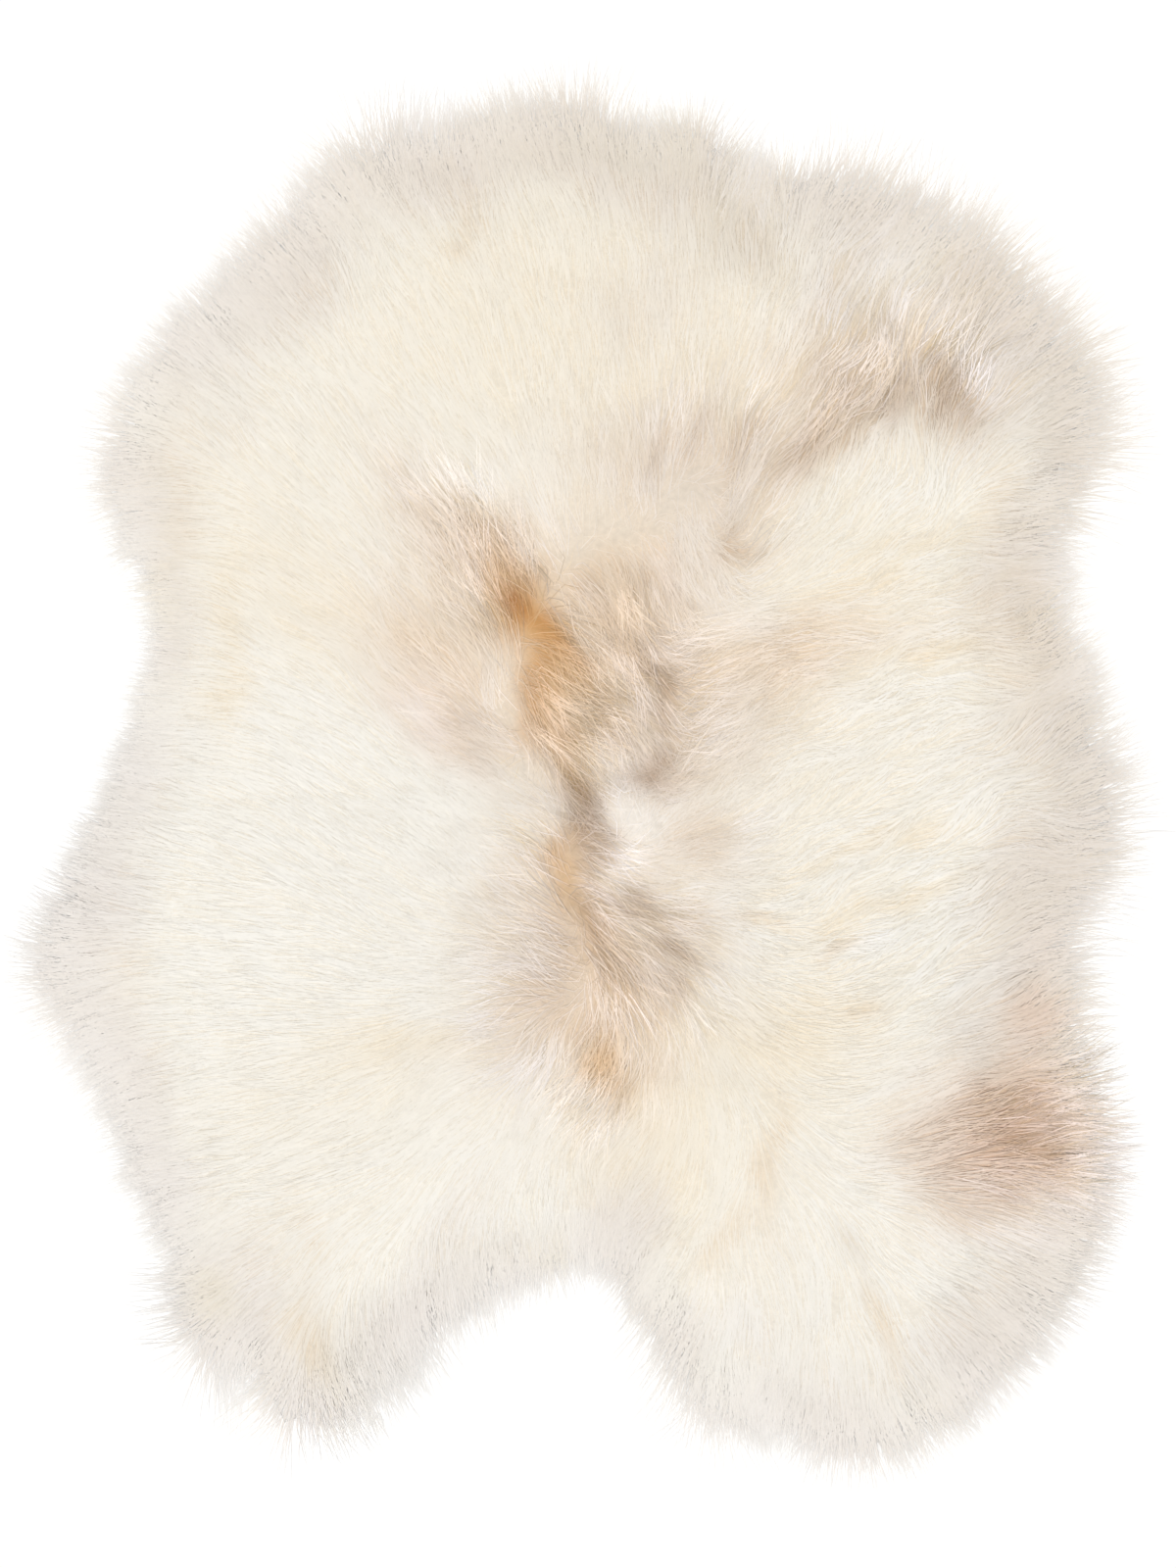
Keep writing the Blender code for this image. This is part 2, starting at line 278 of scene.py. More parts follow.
# Readings of the combing: millimetres across to the right, millimetres along towards the neck,
# and the way that the tips point, in degrees from +X towards the neck.
LIES = (
    # the neck
    (-219, 343, 130), (-160, 350, 110), (-256, 292, 137), (-131, 270, 125), (-329, 292, 150),
    (-116, 365, 120), (-58, 343, 107), (-131, 439, 116), (-72, 292, 115), (-87, 475, 100),
    (-6, 490, 110), (30, 453, 112), (-28, 417, 110), (1, 365, 96), (60, 365, 90), (104, 461, 90),
    (133, 395, 106), (115, 336, 79), (148, 306, 65), (133, 277, 63), (82, 262, 82), (60, 270, 88),
    (16, 270, 99),
    # the shoulders
    (185, 446, 36), (207, 402, 29), (170, 343, 60), (251, 439, 54), (295, 365, 50), (324, 321, 40),
    (353, 277, 33), (295, 270, 49), (265, 284, 76), (232, 292, 80), (207, 270, 45), (170, 255, 53),
    (185, 328, 60), (243, 332, 70), (295, 248, 36), (331, 255, 32), (251, 262, 96), (236, 240, 103),
    (281, 240, 72), (-382, 230, 158), (-150, 400, 122),
    # the left flank
    (-256, 255, 130), (-204, 204, 132), (-315, 204, 172), (-270, 189, 165), (-248, 116, 150),
    (-197, 94, 148), (-278, 72, 176), (-292, 50, 184), (-263, 28, 172), (-226, 57, 155),
    (-182, 35, 143), (-146, 72, 131), (-197, -2, 150), (-307, 20, 184), (-329, -17, 170),
    (-256, -46, 156), (-182, -39, 150), (-292, -31, 165), (-168, -90, 152), (-292, -90, 175),
    (-219, -134, 177), (-307, -134, 173), (-256, -171, 180), (-329, -185, 190), (-248, -215, 191),
    (-292, -259, 191), (-182, -281, 194), (-146, -273, 200), (-366, -207, 199), (-395, -149, 186),
    (-381, -75, 171), (-344, -281, 195),
    # the upper back
    (-116, 204, 122), (-87, 204, 120), (-43, 174, 125), (-131, 130, 122), (-80, 145, 118),
    (-72, 72, 110), (-94, 42, 152), (-62, 20, 150), (10, 212, 98), (45, 215, 92), (-58, 133, 116),
    (-72, 108, 122), (-28, 108, -38), (1, 79, -46), (-35, 80, -52), (1, 130, -54), (30, 116, -65),
    (67, 145, -60), (97, 160, -76), (75, 200, -80), (30, 150, -70), (-6, 57, -36), (16, 28, -42),
    (-21, 6, -56), (-30, 40, -45), (38, 72, -63), (30, 42, -50), (50, 18, -62), (104, 79, 20),
    (119, 50, 17), (148, 116, 20), (80, 95, 30), (104, 28, 33), (75, 6, 26), (119, 6, 40),
    (126, 160, 45), (111, 189, 68), (141, 174, 36),
    # the right flank
    (163, 204, 52), (185, 189, 40), (221, 218, 45), (221, 152, 27), (258, 145, 15), (295, 152, 8),
    (295, 116, 3), (295, 72, -2), (236, 116, 6), (258, 86, 4), (192, 101, 17), (185, 72, 21),
    (221, 72, 28), (170, 42, 27), (192, 13, 30), (236, 28, 30), (280, 28, 26), (331, 42, 55),
    (353, 130, 30), (368, 57, 35), (390, 6, 17), (353, 226, 30), (331, 189, 26), (295, 204, 50),
    (273, 218, 72), (339, 160, 22), (324, 138, 36), (170, -39, 31), (221, -46, 28), (185, -75, 25),
    (258, -61, 16), (199, -112, 31), (243, -90, 23), (258, -119, 31), (295, -46, 45), (309, -97, 48),
    (339, -53, 6), (368, -17, 45), (405, -17, 28), (368, -61, 31), (353, -105, 35), (221, -171, 21),
    (280, -156, 34), (295, -185, 25), (258, -200, 18), (335, -171, 46), (353, -193, 28),
    # the lower back
    (-116, -24, 141), (-94, -24, 145), (-43, -31, 146), (-43, -61, 133), (-58, -90, 144),
    (-30, -112, 148), (-87, -149, 184), (-58, -134, 170), (-28, -141, 152), (-65, -163, 190),
    (-72, -200, 205), (-28, -193, 250), (-43, -244, 243), (-87, -244, 216), (-124, -259, 211),
    (30, -229, 240), (16, -46, -33), (16, -75, -22), (16, -100, -40), (38, -105, -40), (75, -127, -26),
    (30, -134, -50), (45, -149, -58), (67, -156, -47), (75, -178, -68), (60, -193, -96), (34, -18, 88),
    (22, -28, 150), (48, -34, 40), (89, -46, 10), (75, -60, 5), (97, -31, 22), (104, -75, -6),
    (148, -97, -3), (133, -119, -12), (89, -149, -44), (104, -163, -36), (126, -39, 36), (89, -9, 38),
    # the right haunch
    (265, -229, 24), (295, -215, -16), (331, -229, -18), (295, -244, 10), (258, -251, 26),
    (368, -222, 0), (368, -259, -9), (295, -273, 7), (251, -281, 10), (207, -251, 18), (383, -185, -2),
    (207, -295, 4), (170, -281, -42), (185, -332, -60), (177, -369, -86), (214, -391, -60),
    (236, -420, -62), (221, -442, -75), (236, -354, -40), (265, -376, -24), (258, -325, -33),
    (295, -354, -17), (295, -317, -9), (331, -295, -6), (390, -321, -6), (368, -339, -9),
    (331, -376, -22), (295, -406, -45), (295, -442, -58), (324, -442, -37), (258, -457, -70),
    (280, -494, -65), (221, -479, -77), (185, -442, -87), (170, -494, -84), (163, -406, -94),
    (163, -332, -72),
    # the hind legs
    (75, -317, 244), (30, -295, 232), (-6, -295, 258), (-28, -317, 264), (-72, -295, 246),
    (-58, -332, 263), (-109, -295, 234), (-102, -376, 251), (-124, -398, 246), (-146, -420, 247),
    (-36, -376, 251), (30, -361, 278), (60, -391, 275), (60, -435, 284), (89, -472, 280),
    (104, -354, 279), (111, -391, 275), (133, -442, 275), (104, -295, 250), (-344, -303, 186),
    (-292, -310, 190), (-256, -303, 192), (-219, -295, 187), (-160, -303, 213), (-248, -347, 214),
    (-226, -376, 216), (-278, -361, 224), (-292, -391, 216), (-307, -413, 220), (-278, -420, 234),
    (-197, -361, 236), (-190, -391, 238), (-212, -428, 266), (-175, -369, 241), (-146, -354, 236),
    (-197, -457, 267), (-160, -428, 254), (-226, -479, 265), (-190, -486, 274), (-168, -472, 260),
)

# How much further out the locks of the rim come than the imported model's, in millimetres, by the
# turn from the right-hand side: fuller at the shoulders and the flanks, nicked between two locks.
FULLER_LOCKS = (
    (0, 8), (10, 0), (24, 7), (31, 26), (45, 14), (60, 38), (69, 21), (75, -16), (80, 5), (85, -21),
    (92, 12), (103, -3), (110, 31), (116, -5), (120, 6), (125, 6), (135, 13), (144, 18), (151, -14),
    (157, -4), (165, 6), (180, 2), (190, -7), (202, 19), (212, 4), (225, 4), (230, -14), (235, 42),
    (240, -10), (245, 31), (250, -14), (256, -42), (262, -14), (266, -2), (270, -7), (275, -16),
    (280, 46), (286, -20), (292, 0), (316, -7), (325, -2), (335, 8), (347, 15), (356, 13),
)
RIM_SECTORS = 360
NEAR_SECTORS = 2             # how many sectors on each side a lock's reach is spread over


def wool_outline(corners):
    """The smooth line that the tips of the rim's locks come up to."""
    sector = ((angle_of(corners) / (2 * math.pi) + 0.5) * RIM_SECTORS).astype(int) % RIM_SECTORS
    reach = np.zeros(RIM_SECTORS)
    np.maximum.at(reach, sector, np.hypot(*corners.T))
    near = range(-NEAR_SECTORS, NEAR_SECTORS + 1)
    widest = np.max([np.roll(reach, step) for step in near], axis=0)
    smooth = np.mean([np.roll(widest, step) for step in near], axis=0)
    angles = (np.arange(RIM_SECTORS) + 0.5) / RIM_SECTORS * 2 * math.pi - math.pi
    turns, extra = np.array(FULLER_LOCKS, float).T
    smooth += np.interp(np.degrees(angles), turns, extra, period=360) / 1000
    return np.stack((smooth * np.cos(angles), smooth * np.sin(angles)), axis=1)


def polar(points, outline):
    """Distance from the middle to an outline, towards each point."""
    return np.interp(angle_of(points), angle_of(outline), np.hypot(*outline.T), period=2 * math.pi)


def ramp(values, start, run):
    """A share that is 0 up to the start and 1 after the run."""
    return np.clip((values - start) / run, 0, 1)


def oval(middle, size, steepness=1):
    """A share that is full at a place and fades out round it."""
    return np.exp(-np.sum(((plan - middle) / size) ** 2, axis=1) ** steepness)


def smoothed(field, times):
    """The field with each point drawn towards its neighbours, a number of times."""
    grid = field.reshape(shape)
    for _ in range(times):
        padded = np.pad(grid, 1, mode="edge")
        near = padded[:-2, 1:-1] + padded[2:, 1:-1] + padded[1:-1, :-2] + padded[1:-1, 2:]
        grid = (grid * 2 + near) / 6
    return grid.reshape(-1)


fleece_low, fleece_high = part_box("fleece")
columns = np.arange(fleece_low.x - BED_MARGIN, fleece_high.x + BED_MARGIN, BED_STEP)
rows = np.arange(fleece_low.y - BED_MARGIN, fleece_high.y + BED_MARGIN, BED_STEP)
plan = np.stack(np.meshgrid(columns, rows), axis=-1).reshape(-1, 2)
plan_x, plan_y = plan.T
shape = (len(rows), len(columns))

# How far each point is past the skin's edge, as a share of the wool's overhang, and how far
# inside that edge it is, in metres.
fleece_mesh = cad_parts["fleece"].data
wool_edge = wool_outline(corners_of(fleece_mesh)[:, :2])
middle_distance = np.hypot(plan_x, plan_y)
skin_reach = polar(plan, skin_outline)
past_skin = (middle_distance - skin_reach) / (polar(plan, wool_edge) - skin_reach)
inset = np.full(len(plan), np.inf)
for corner in skin_outline:
    inset = np.minimum(inset, np.hypot(*(plan - corner).T))
inset = np.where(past_skin > 0, -inset, inset)

# The bed's height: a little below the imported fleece, and down to the floor outside the skin.
fleece_faces = [tuple(face.vertices) for face in fleece_mesh.polygons]
fleece_tree = BVHTree.FromPolygons([vertex.co for vertex in fleece_mesh.vertices], fleece_faces)
fleece_top = np.zeros(len(plan))
for k, (x, y) in enumerate(plan):
    hit = fleece_tree.ray_cast(Vector((x, y, 1)), Vector((0, 0, -1)))[0]
    if hit:
        fleece_top[k] = hit.z
body_height = smoothed(fleece_top, BODY_SMOOTHINGS) - BED_DEPTH
rim_height = FLOOR_BED + (RIM_BED - FLOOR_BED) * (1 - ramp(past_skin, 0, RIM_REACH)) ** RIM_FALL
inner_height = RIM_BED + (np.maximum(body_height, RIM_BED) - RIM_BED) * ramp(inset, 0, RIM_BLEND)
bed_height = smoothed(np.where(inset > 0, inner_height, rim_height), BED_SMOOTHINGS)
bed_height += TUFT_HEIGHT * oval(TUFT_PLACE, TUFT_SIZE, TUFT_STEEPNESS)

# The combing at each point of the bed. Near the rim it also fans out, square to the outline.
lie = np.zeros((len(plan), 2))
for across, along, turn in LIES:
    gap = np.sum((plan - (across / 1000, along / 1000)) ** 2, axis=1)
    sway = 1 / (gap + LIE_SPREAD ** 2) ** 2
    turn = math.radians(turn)
    lie += sway[:, None] * (math.cos(turn), math.sin(turn))
lie /= np.linalg.norm(lie, axis=1, keepdims=True)
slope = np.gradient(smoothed(past_skin, RIM_SMOOTHINGS).reshape(shape), BED_STEP)
outward = np.stack((slope[1].reshape(-1), slope[0].reshape(-1)), axis=1)
outward /= np.linalg.norm(outward, axis=1, keepdims=True) + 1e-9
rim_run = 1 - ramp(inset, 0, RIM_RUN)
lie += outward * (rim_run * RIM_FAN)[:, None]
lie /= np.linalg.norm(lie, axis=1, keepdims=True) + 1e-9

# The locks wave from side to side on their way out, most of all on the right flank.
right_side = ramp(plan_x, FLANK_START[0], FLANK_BLEND[0]) * ramp(plan_y, FLANK_START[1], FLANK_BLEND[1])
centre_share = oval(BACK_MIDDLE, BACK_SIZE)
crooked = CROOKEDNESS * np.sin(plan_x / CROOK_SIZES[0] + CROOK_START)
crooked += CROOKEDNESS * np.sin(plan_y / CROOK_SIZES[1] + plan_x / CROOK_SIZES[2])
swing = np.sin(2 * math.pi * (middle_distance / WAVE_LENGTH + crooked))
swing *= np.clip(WAVE_AT_EDGE + inset / WAVE_FADE, 0, 1)
swing *= GENTLE_WAVE + (STRONG_WAVE - GENTLE_WAVE) * right_side
lie_x, lie_y = lie.T
swung_x = lie_x * np.cos(swing) - lie_y * np.sin(swing)
swung_y = lie_x * np.sin(swing) + lie_y * np.cos(swing)
lie = np.stack((swung_x, swung_y), axis=1)

# The room that a strand has before the line where the wool ends.
rim_length = RIM_LENGTH + LONG_LOCK_MORE * oval(LONG_LOCK_PLACE, LONG_LOCK_SIZE)
room = rim_length.copy()
walk = plan.copy()
for step in range(int(rim_length.max() / STRIDE)):
    walk += lie * STRIDE
    outside = np.hypot(*walk.T) > polar(walk, wool_edge)
    room = np.where(outside & (room == rim_length), np.minimum(step * STRIDE, rim_length), room)
own_length = STRAND_LENGTH + (WAVY_LENGTH - STRAND_LENGTH) * right_side
own_length += (BACK_LENGTH - own_length) * centre_share
strand_length = np.minimum(own_length + (rim_length - own_length) * rim_run, room)

# The wool's colours, as they look in daylight. A few of them also stand for painted shade.
CREAM = (245, 242, 235)
IVORY = (242, 235, 221)
STRAW = (241, 228, 204)
# A darker oat tone, mostly for painted shade in the hollows between locks.
OAT_SHADE = (231, 212, 185)
# A lilac grey, for the painted shade of the rim and for some greyish wool inside it, and a lilac, for
# the rim's cooler painted shade and the colour that bleached strands fade to.
GREY_SHADE = (230, 221, 211)
LILAC = (235, 229, 224)
SHADE = (225, 216, 203)
PEACH = (237, 220, 200)
BLUSH = (240, 226, 214)
TAN = (230, 212, 192)
HONEY = (222, 196, 160)
FAWN = (214, 186, 152)
AMBER = (216, 172, 112)
OCHRE = (203, 144, 70)
CHESTNUT = (168, 104, 44)
RUST = (222, 190, 165)
TAUPE = (226, 209, 191)
SMOKE = (208, 184, 158)
UMBER = (174, 138, 98)
MILK = (247, 242, 237)

# Where each one grows, or where its painted shade lies: millimetres across and along, half its length
# and half its width, the angle of its length in degrees, the colour, and how much of it there is.
PATCHES = (
    # cream over the neck, the shoulders and the flanks
    (-6, 343, 191, 125, 0, IVORY, 0.95), (-256, 204, 110, 125, 90, IVORY, 0.45),
    (192, 116, 183, 125, 90, IVORY, 0.5), (104, -207, 95, 59, 0, IVORY, 0.6),
    (-182, -237, 110, 59, 10, IVORY, 0.35),
    # straw-coloured streaks of the flanks
    (-267, 94, 73, 15, 88, STRAW, 0.55), (-197, 130, 59, 44, -50, STRAW, 0.3),
    (-124, -196, 59, 16, 4, STRAW, 0.5), (52, -288, 66, 55, 90, STRAW, 0.45),
    (148, -182, 73, 33, 5, STRAW, 0.4), (317, 207, 29, 19, 90, STRAW, 0.45),
    # The thin streaks of the right flank, on this line and the next two, are partly the straw tint and
    # partly painted shade in the hollows between its waving locks.
    (207, -52, 73, 6, 20, STRAW, 0.6), (225, -91, 81, 6, 22, STRAW, 0.6),
    (258, 99, 51, 7, 10, STRAW, 0.6), (240, 174, 59, 6, 18, STRAW, 0.55),
    (207, 141, 59, 6, 12, STRAW, 0.55),
    # painted shade in the hollows between locks, here and there, with some of the wool's own oat tone
    (137, -281, 55, 9, 84, OAT_SHADE, 0.55), (100, -343, 29, 10, 60, OAT_SHADE, 0.45),
    (122, 411, 40, 13, -72, OAT_SHADE, 0.35), (298, 290, 32, 31, 90, GREY_SHADE, 0.75),
    (-83, 422, 19, 4, -75, OAT_SHADE, 0.7), (-98, 401, 15, 4, 20, OAT_SHADE, 0.7), (185, 373, 22, 9, 40, OAT_SHADE, 0.5),
    (276, 373, 33, 16, -65, OAT_SHADE, 0.55), (-274, -387, 29, 19, -50, OAT_SHADE, 0.5),
    (-203, -420, 37, 12, -80, OAT_SHADE, 0.6), (-36, -354, 44, 7, 2, OAT_SHADE, 0.45),
    (-210, -325, 29, 5, -65, OAT_SHADE, 0.45), (192, -347, 19, 7, -65, SHADE, 0.7),
    (220, -413, 33, 6, -80, OAT_SHADE, 0.55), (179, -124, 16, 4, 25, OAT_SHADE, 0.7),
    (210, -172, 19, 5, 12, OAT_SHADE, 0.6), (130, -101, 25, 5, 0, OAT_SHADE, 0.7),
    # shade round the rim
    (63, 464, 70, 28, -8, SHADE, 0.6), (-310, 182, 95, 15, 88, TAUPE, 0.5),
    (-348, -149, 117, 18, -77, TAUPE, 0.3), (324, 152, 33, 21, -20, TAUPE, 0.7),
    (343, 116, 37, 19, 90, TAUPE, 0.5), (320, -387, 44, 21, 60, TAUPE, 0.3),
    (16, 475, 95, 33, 0, SHADE, 0.8), (108, 413, 44, 40, 90, SHADE, 0.8),
    (45, 354, 37, 44, 90, GREY_SHADE, 0.5), (339, 343, 110, 44, -50, GREY_SHADE, 0.8),
    (372, 270, 81, 29, 90, SHADE, 0.6), (374, 6, 169, 41, 90, GREY_SHADE, 0.85),
    (384, 13, 132, 29, 90, SHADE, 0.22), (340, -116, 66, 32, 72, GREY_SHADE, 0.6),
    (352, 145, 59, 25, 90, GREY_SHADE, 0.7), (-219, -391, 66, 44, -60, SHADE, 0.3),
    (185, -406, 81, 51, -50, SHADE, 0.15), (324, 86, 73, 33, 90, TAN, 0.35),
    (339, -384, 59, 44, 60, GREY_SHADE, 0.2),
    # veils of tan over the back
    (30, 108, 128, 84, 90, TAN, 0.72), (1, -123, 114, 72, 90, TAN, 0.7),
    (100, 42, 55, 40, 20, TAUPE, 0.45),
    # left of the spine
    (-96, 163, 72, 35, -53, TAN, 0.75), (-116, 198, 40, 22, -50, TAN, 0.38),
    (-69, 174, 51, 18, -57, FAWN, 0.55), (-113, 94, 56, 40, -30, PEACH, 0.9),
    (-109, 46, 44, 22, -35, BLUSH, 0.85), (-69, 33, 46, 25, -40, TAUPE, 0.6),
    # right of the spine
    (34, 79, 70, 38, -66, TAUPE, 0.65), (30, 129, 37, 28, -60, HONEY, 0.7),
    (25, 108, 51, 32, -60, FAWN, 0.15), (51, 163, 32, 21, -75, PEACH, 0.6),
    (137, 95, 68, 29, 18, PEACH, 0.8), (221, 108, 70, 21, 15, PEACH, 0.22),
    # the amber mark
    (-37, 105, 68, 25, -70, AMBER, 0.85), (-6, 63, 44, 21, -60, HONEY, 0.55),
    (-39, 152, 22, 12, -60, FAWN, 0.6), (-31, 104, 29, 12, -48, OCHRE, 0.6),
    (-50, 129, 18, 7, -46, CHESTNUT, 0.7), (-36, 63, 34, 11, -88, OCHRE, 0.4),
    (-75, 119, 15, 10, 60, HONEY, 0.5),
    # dark streaks beside it: darker wool at the roots, with painted shade in the partings
    (25, 121, 35, 5, -55, SMOKE, 0.6), (48, 86, 25, 6, -68, SMOKE, 0.7),
    (39, 152, 15, 4, -70, SMOKE, 0.5), (67, 141, 25, 4, -65, SMOKE, 0.5),
    # This line paints shade: the dark shading right of the amber mark, and the shadow in the crease
    # above the tuft.
    (57, 55, 29, 7, -78, UMBER, 0.55), (48, 6, 25, 7, 10, UMBER, 1.0), (67, -4, 18, 5, 8, SMOKE, 0.6),
    (23, 39, 37, 6, -40, SMOKE, 0.4),
    # down the spine, with painted shade in its parting
    (-27, 36, 41, 16, -68, AMBER, 0.6), (-6, 11, 26, 18, -60, HONEY, 0.55),
    (-9, -15, 23, 15, -70, UMBER, 0.75), (-5, -37, 28, 12, -80, UMBER, 0.55),
    (-14, -75, 26, 12, -85, AMBER, 0.7), (1, -97, 26, 13, -80, FAWN, 0.5),
    (10, -121, 48, 23, -66, FAWN, 0.7), (0, -108, 29, 9, -70, UMBER, 0.45),
    # on both sides of it
    (60, -116, 43, 34, -35, TAUPE, 0.45), (-50, -149, 59, 37, 90, GREY_SHADE, 0.95),
    (49, -152, 34, 21, -40, TAUPE, 0.75), (-28, -119, 41, 26, 92, TAUPE, 0.35),
    (-28, -178, 44, 34, 90, TAUPE, 0.4), (-22, -123, 31, 16, 92, SMOKE, 0.25),
    (-21, -172, 23, 16, 90, SMOKE, 0.28), (41, -88, 28, 6, -25, UMBER, 0.5),
    (67, -127, 26, 6, -40, UMBER, 0.5), (69, -157, 18, 7, -60, SMOKE, 0.45),
    (83, -47, 40, 25, -20, TAUPE, 0.6), (-47, -39, 59, 23, 88, GREY_SHADE, 0.3),
    # A painted shadow, in the crease on the tuft's left.
    (11, -39, 35, 7, 88, UMBER, 0.45),
    # above the tail
    (19, -194, 46, 29, 90, TAN, 0.6), (16, -206, 29, 22, 90, HONEY, 0.85),
    (11, -212, 22, 12, 15, AMBER, 0.72), (54, -191, 26, 15, 90, PEACH, 0.55),
    # the white tuft
    (33, -30, 41, 23, -84, MILK, 1.0),
    # the band over the right shoulder
    (67, 248, 54, 35, 0, TAUPE, 0.65), (102, 204, 53, 31, -85, TAUPE, 0.5),
    (54, 244, 29, 6, -85, SMOKE, 0.5), (86, 251, 29, 7, 70, SMOKE, 0.45),
    (116, 244, 37, 7, 65, SMOKE, 0.5), (105, 177, 19, 7, -70, SMOKE, 0.6),
    (113, 163, 16, 7, 30, SMOKE, 0.5), (163, 255, 60, 34, 40, TAUPE, 0.65),
    (168, 255, 34, 15, 60, SMOKE, 0.55), (214, 321, 99, 37, 10, TAN, 0.55),
    (214, 286, 59, 38, 25, SMOKE, 0.42), (78, 215, 44, 37, 90, GREY_SHADE, 0.62),
    (232, 284, 29, 10, 80, UMBER, 0.4), (207, 265, 26, 9, 40, SMOKE, 0.4),
    (267, 292, 38, 19, -75, SMOKE, 0.48), (258, 288, 29, 9, 85, UMBER, 0.45),
    (279, 281, 21, 7, 105, UMBER, 0.35),
    # the rusty mark of the haunch
    (317, -266, 75, 62, 5, RUST, 0.93), (340, -172, 35, 31, 60, RUST, 0.65),
    (339, -123, 37, 23, 70, BLUSH, 0.7), (339, -272, 32, 9, -3, UMBER, 0.55),
    (301, -238, 35, 18, 35, SMOKE, 0.5), (262, -312, 31, 15, -25, SMOKE, 0.2),
    (284, -304, 37, 25, -20, GREY_SHADE, 0.4), (252, -253, 31, 16, 30, TAUPE, 0.4),
)

PATCH_STEEPNESS = 1.3
BEND_SIZE = 0.035            # the size of the bends in a patch's edge
BEND_REACH = 0.006
RIM_SHADE_SHARES = ((-0.6, 0), (0.3, 0.8), (0.8, 0.95))  # how much painted rim shade there is, by the share of the overhang
PALE_SHARES = ((0.5, 0), (0.65, 0.15), (0.8, 0.42), (1.2, 0.8))  # and how far its tips are lightened to white, as painted light
COOL_MIDDLE = 0.5            # how cool the painted rim shade is in the middle, as a share of the coolest
COOL_SPREAD = (0.5, 0.6)     # and how far it takes to be coolest, towards the lower left


def daylight(colour):
    """A colour as it looks, 0 to 255, as the amounts of light that it sends back (sRGB)."""
    share = np.asarray(colour, float) / 255
    return np.where(share <= 0.04045, share / 12.92, ((share + 0.055) / 1.055) ** 2.4)


def bent(points, size, reach):
    """The points, pushed about a little, so that a colour's edge isn't a plain oval.

    The factors have no common measure, so that no bend comes back.
    """
    x, y = points.T / size
    push_x = np.sin(2.1 * y + 1.3 * np.sin(1.7 * x)) + 0.5 * np.sin(4.7 * y - 2.9 * x)
    push_y = np.sin(1.9 * x + 1.1 * np.sin(2.3 * y)) + 0.5 * np.sin(5.3 * x + 3.1 * y)
    return points + reach * np.stack((push_x, push_y), axis=1)


def ripples(along, across, height, length, bend, bend_length):
    """Waves along one way of the plan, bent by waves along the other."""
    return height * np.sin(along / length + bend * np.sin(across / bend_length))


wool_colour = np.tile(daylight(CREAM), (len(plan), 1))
bent_plan = bent(plan, BEND_SIZE, BEND_REACH)
for across, along, length, width, turn, colour, depth in PATCHES:
    turn = math.radians(turn)
    dx, dy = (bent_plan - (across / 1000, along / 1000)).T
    u = (dx * math.cos(turn) + dy * math.sin(turn)) / (length / 1000)
    v = (dy * math.cos(turn) - dx * math.sin(turn)) / (width / 1000)
    amount = depth * np.exp(-((u * u + v * v) ** PATCH_STEEPNESS))
    wool_colour += (daylight(colour) - wool_colour) * amount[:, None]
# Painted shade round the rim: there the wool falls away, thins out and lies lower, and it is darkened
# towards a lilac grey for it, cooler to the lower left. The ripples make that shade's inner edge
# uneven.
uneven = ripples(plan_x, plan_y, height=0.30, length=0.021, bend=1.5, bend_length=0.035)
uneven += ripples(plan_y, plan_x, height=0.25, length=0.017, bend=1.2, bend_length=0.029)
rim_shade = np.interp(past_skin + uneven, *zip(*RIM_SHADE_SHARES))[:, None]
cool = np.clip(COOL_MIDDLE - plan_x / COOL_SPREAD[0] - plan_y / COOL_SPREAD[1], 0, 1)[:, None]
shaded_rim = np.minimum(daylight(GREY_SHADE) + (daylight(LILAC) - daylight(GREY_SHADE)) * cool, wool_colour)
wool_colour += (shaded_rim - wool_colour) * rim_shade
# Painted light: the outermost tips are lightened towards white, as though the bright floor showed
# through them.
wool_colour += (1 - wool_colour) * np.interp(past_skin, *zip(*PALE_SHARES))[:, None]

# The guide itself: a net of points with what the wool needs to know at each one.
NECK, HIND, LEFT, UPPER_BACK, LOWER_BACK, RIGHT = range(6)
NECK_LINE = 0.235
HIND_LINE = -0.255
LEFT_LINE = -0.110
RIGHT_LINE = 0.100
RIM_WIDTH = 0.050            # how far in from the skin's edge its wool is denser and finer
EDGE_WIDTH = 0.030           # and how far in from there it frays
EDGE_BLEND = 0.025
DARK_BLUE = 0.45             # the blue in the darkest marks, as amounts of light
DARK_BLEND = 0.27            # how much more of it there is in white wool
DEEP = 1.5                   # deep marks count for more than pale ones
LOFT = 0.0020                # how far the long wool stands up from the bed
MARK_LOFT = 0.0052           # how much further in the deep marks
FLANK_LOFT = 0.0016          # and on the right flank
TIP_LOFT_LOSS = 0.75         # the share of its loft that it loses on the floor
TIP_REACH = 0.6              # the share of the overhang after which it lies as low as it will
MARK_FRIZZ = 0.60            # how much frizzier the dark marks are
EDGE_LOOSENESS = 0.6         # how much less wool draws together where it frays
ROOT_REACH = 0.006           # how far past the skin's edge, and inside it, roots thin out
bed_mesh = bpy.data.meshes.new("bed")
first = (np.arange(shape[0] - 1)[:, None] * shape[1] + np.arange(shape[1] - 1)).reshape(-1)
squares = np.stack((first, first + 1, first + 1 + shape[1], first + shape[1]), axis=1)
bed_mesh.from_pydata(np.column_stack((plan, bed_height)).tolist(), [], squares.tolist())


def tell(mesh, name, values, kind="FLOAT", domain="POINT"):
    field = mesh.attributes.new(name, kind, domain)
    key = "vector" if kind == "FLOAT_VECTOR" else "value"
    field.data.foreach_set(key, np.asarray(values).reshape(-1))


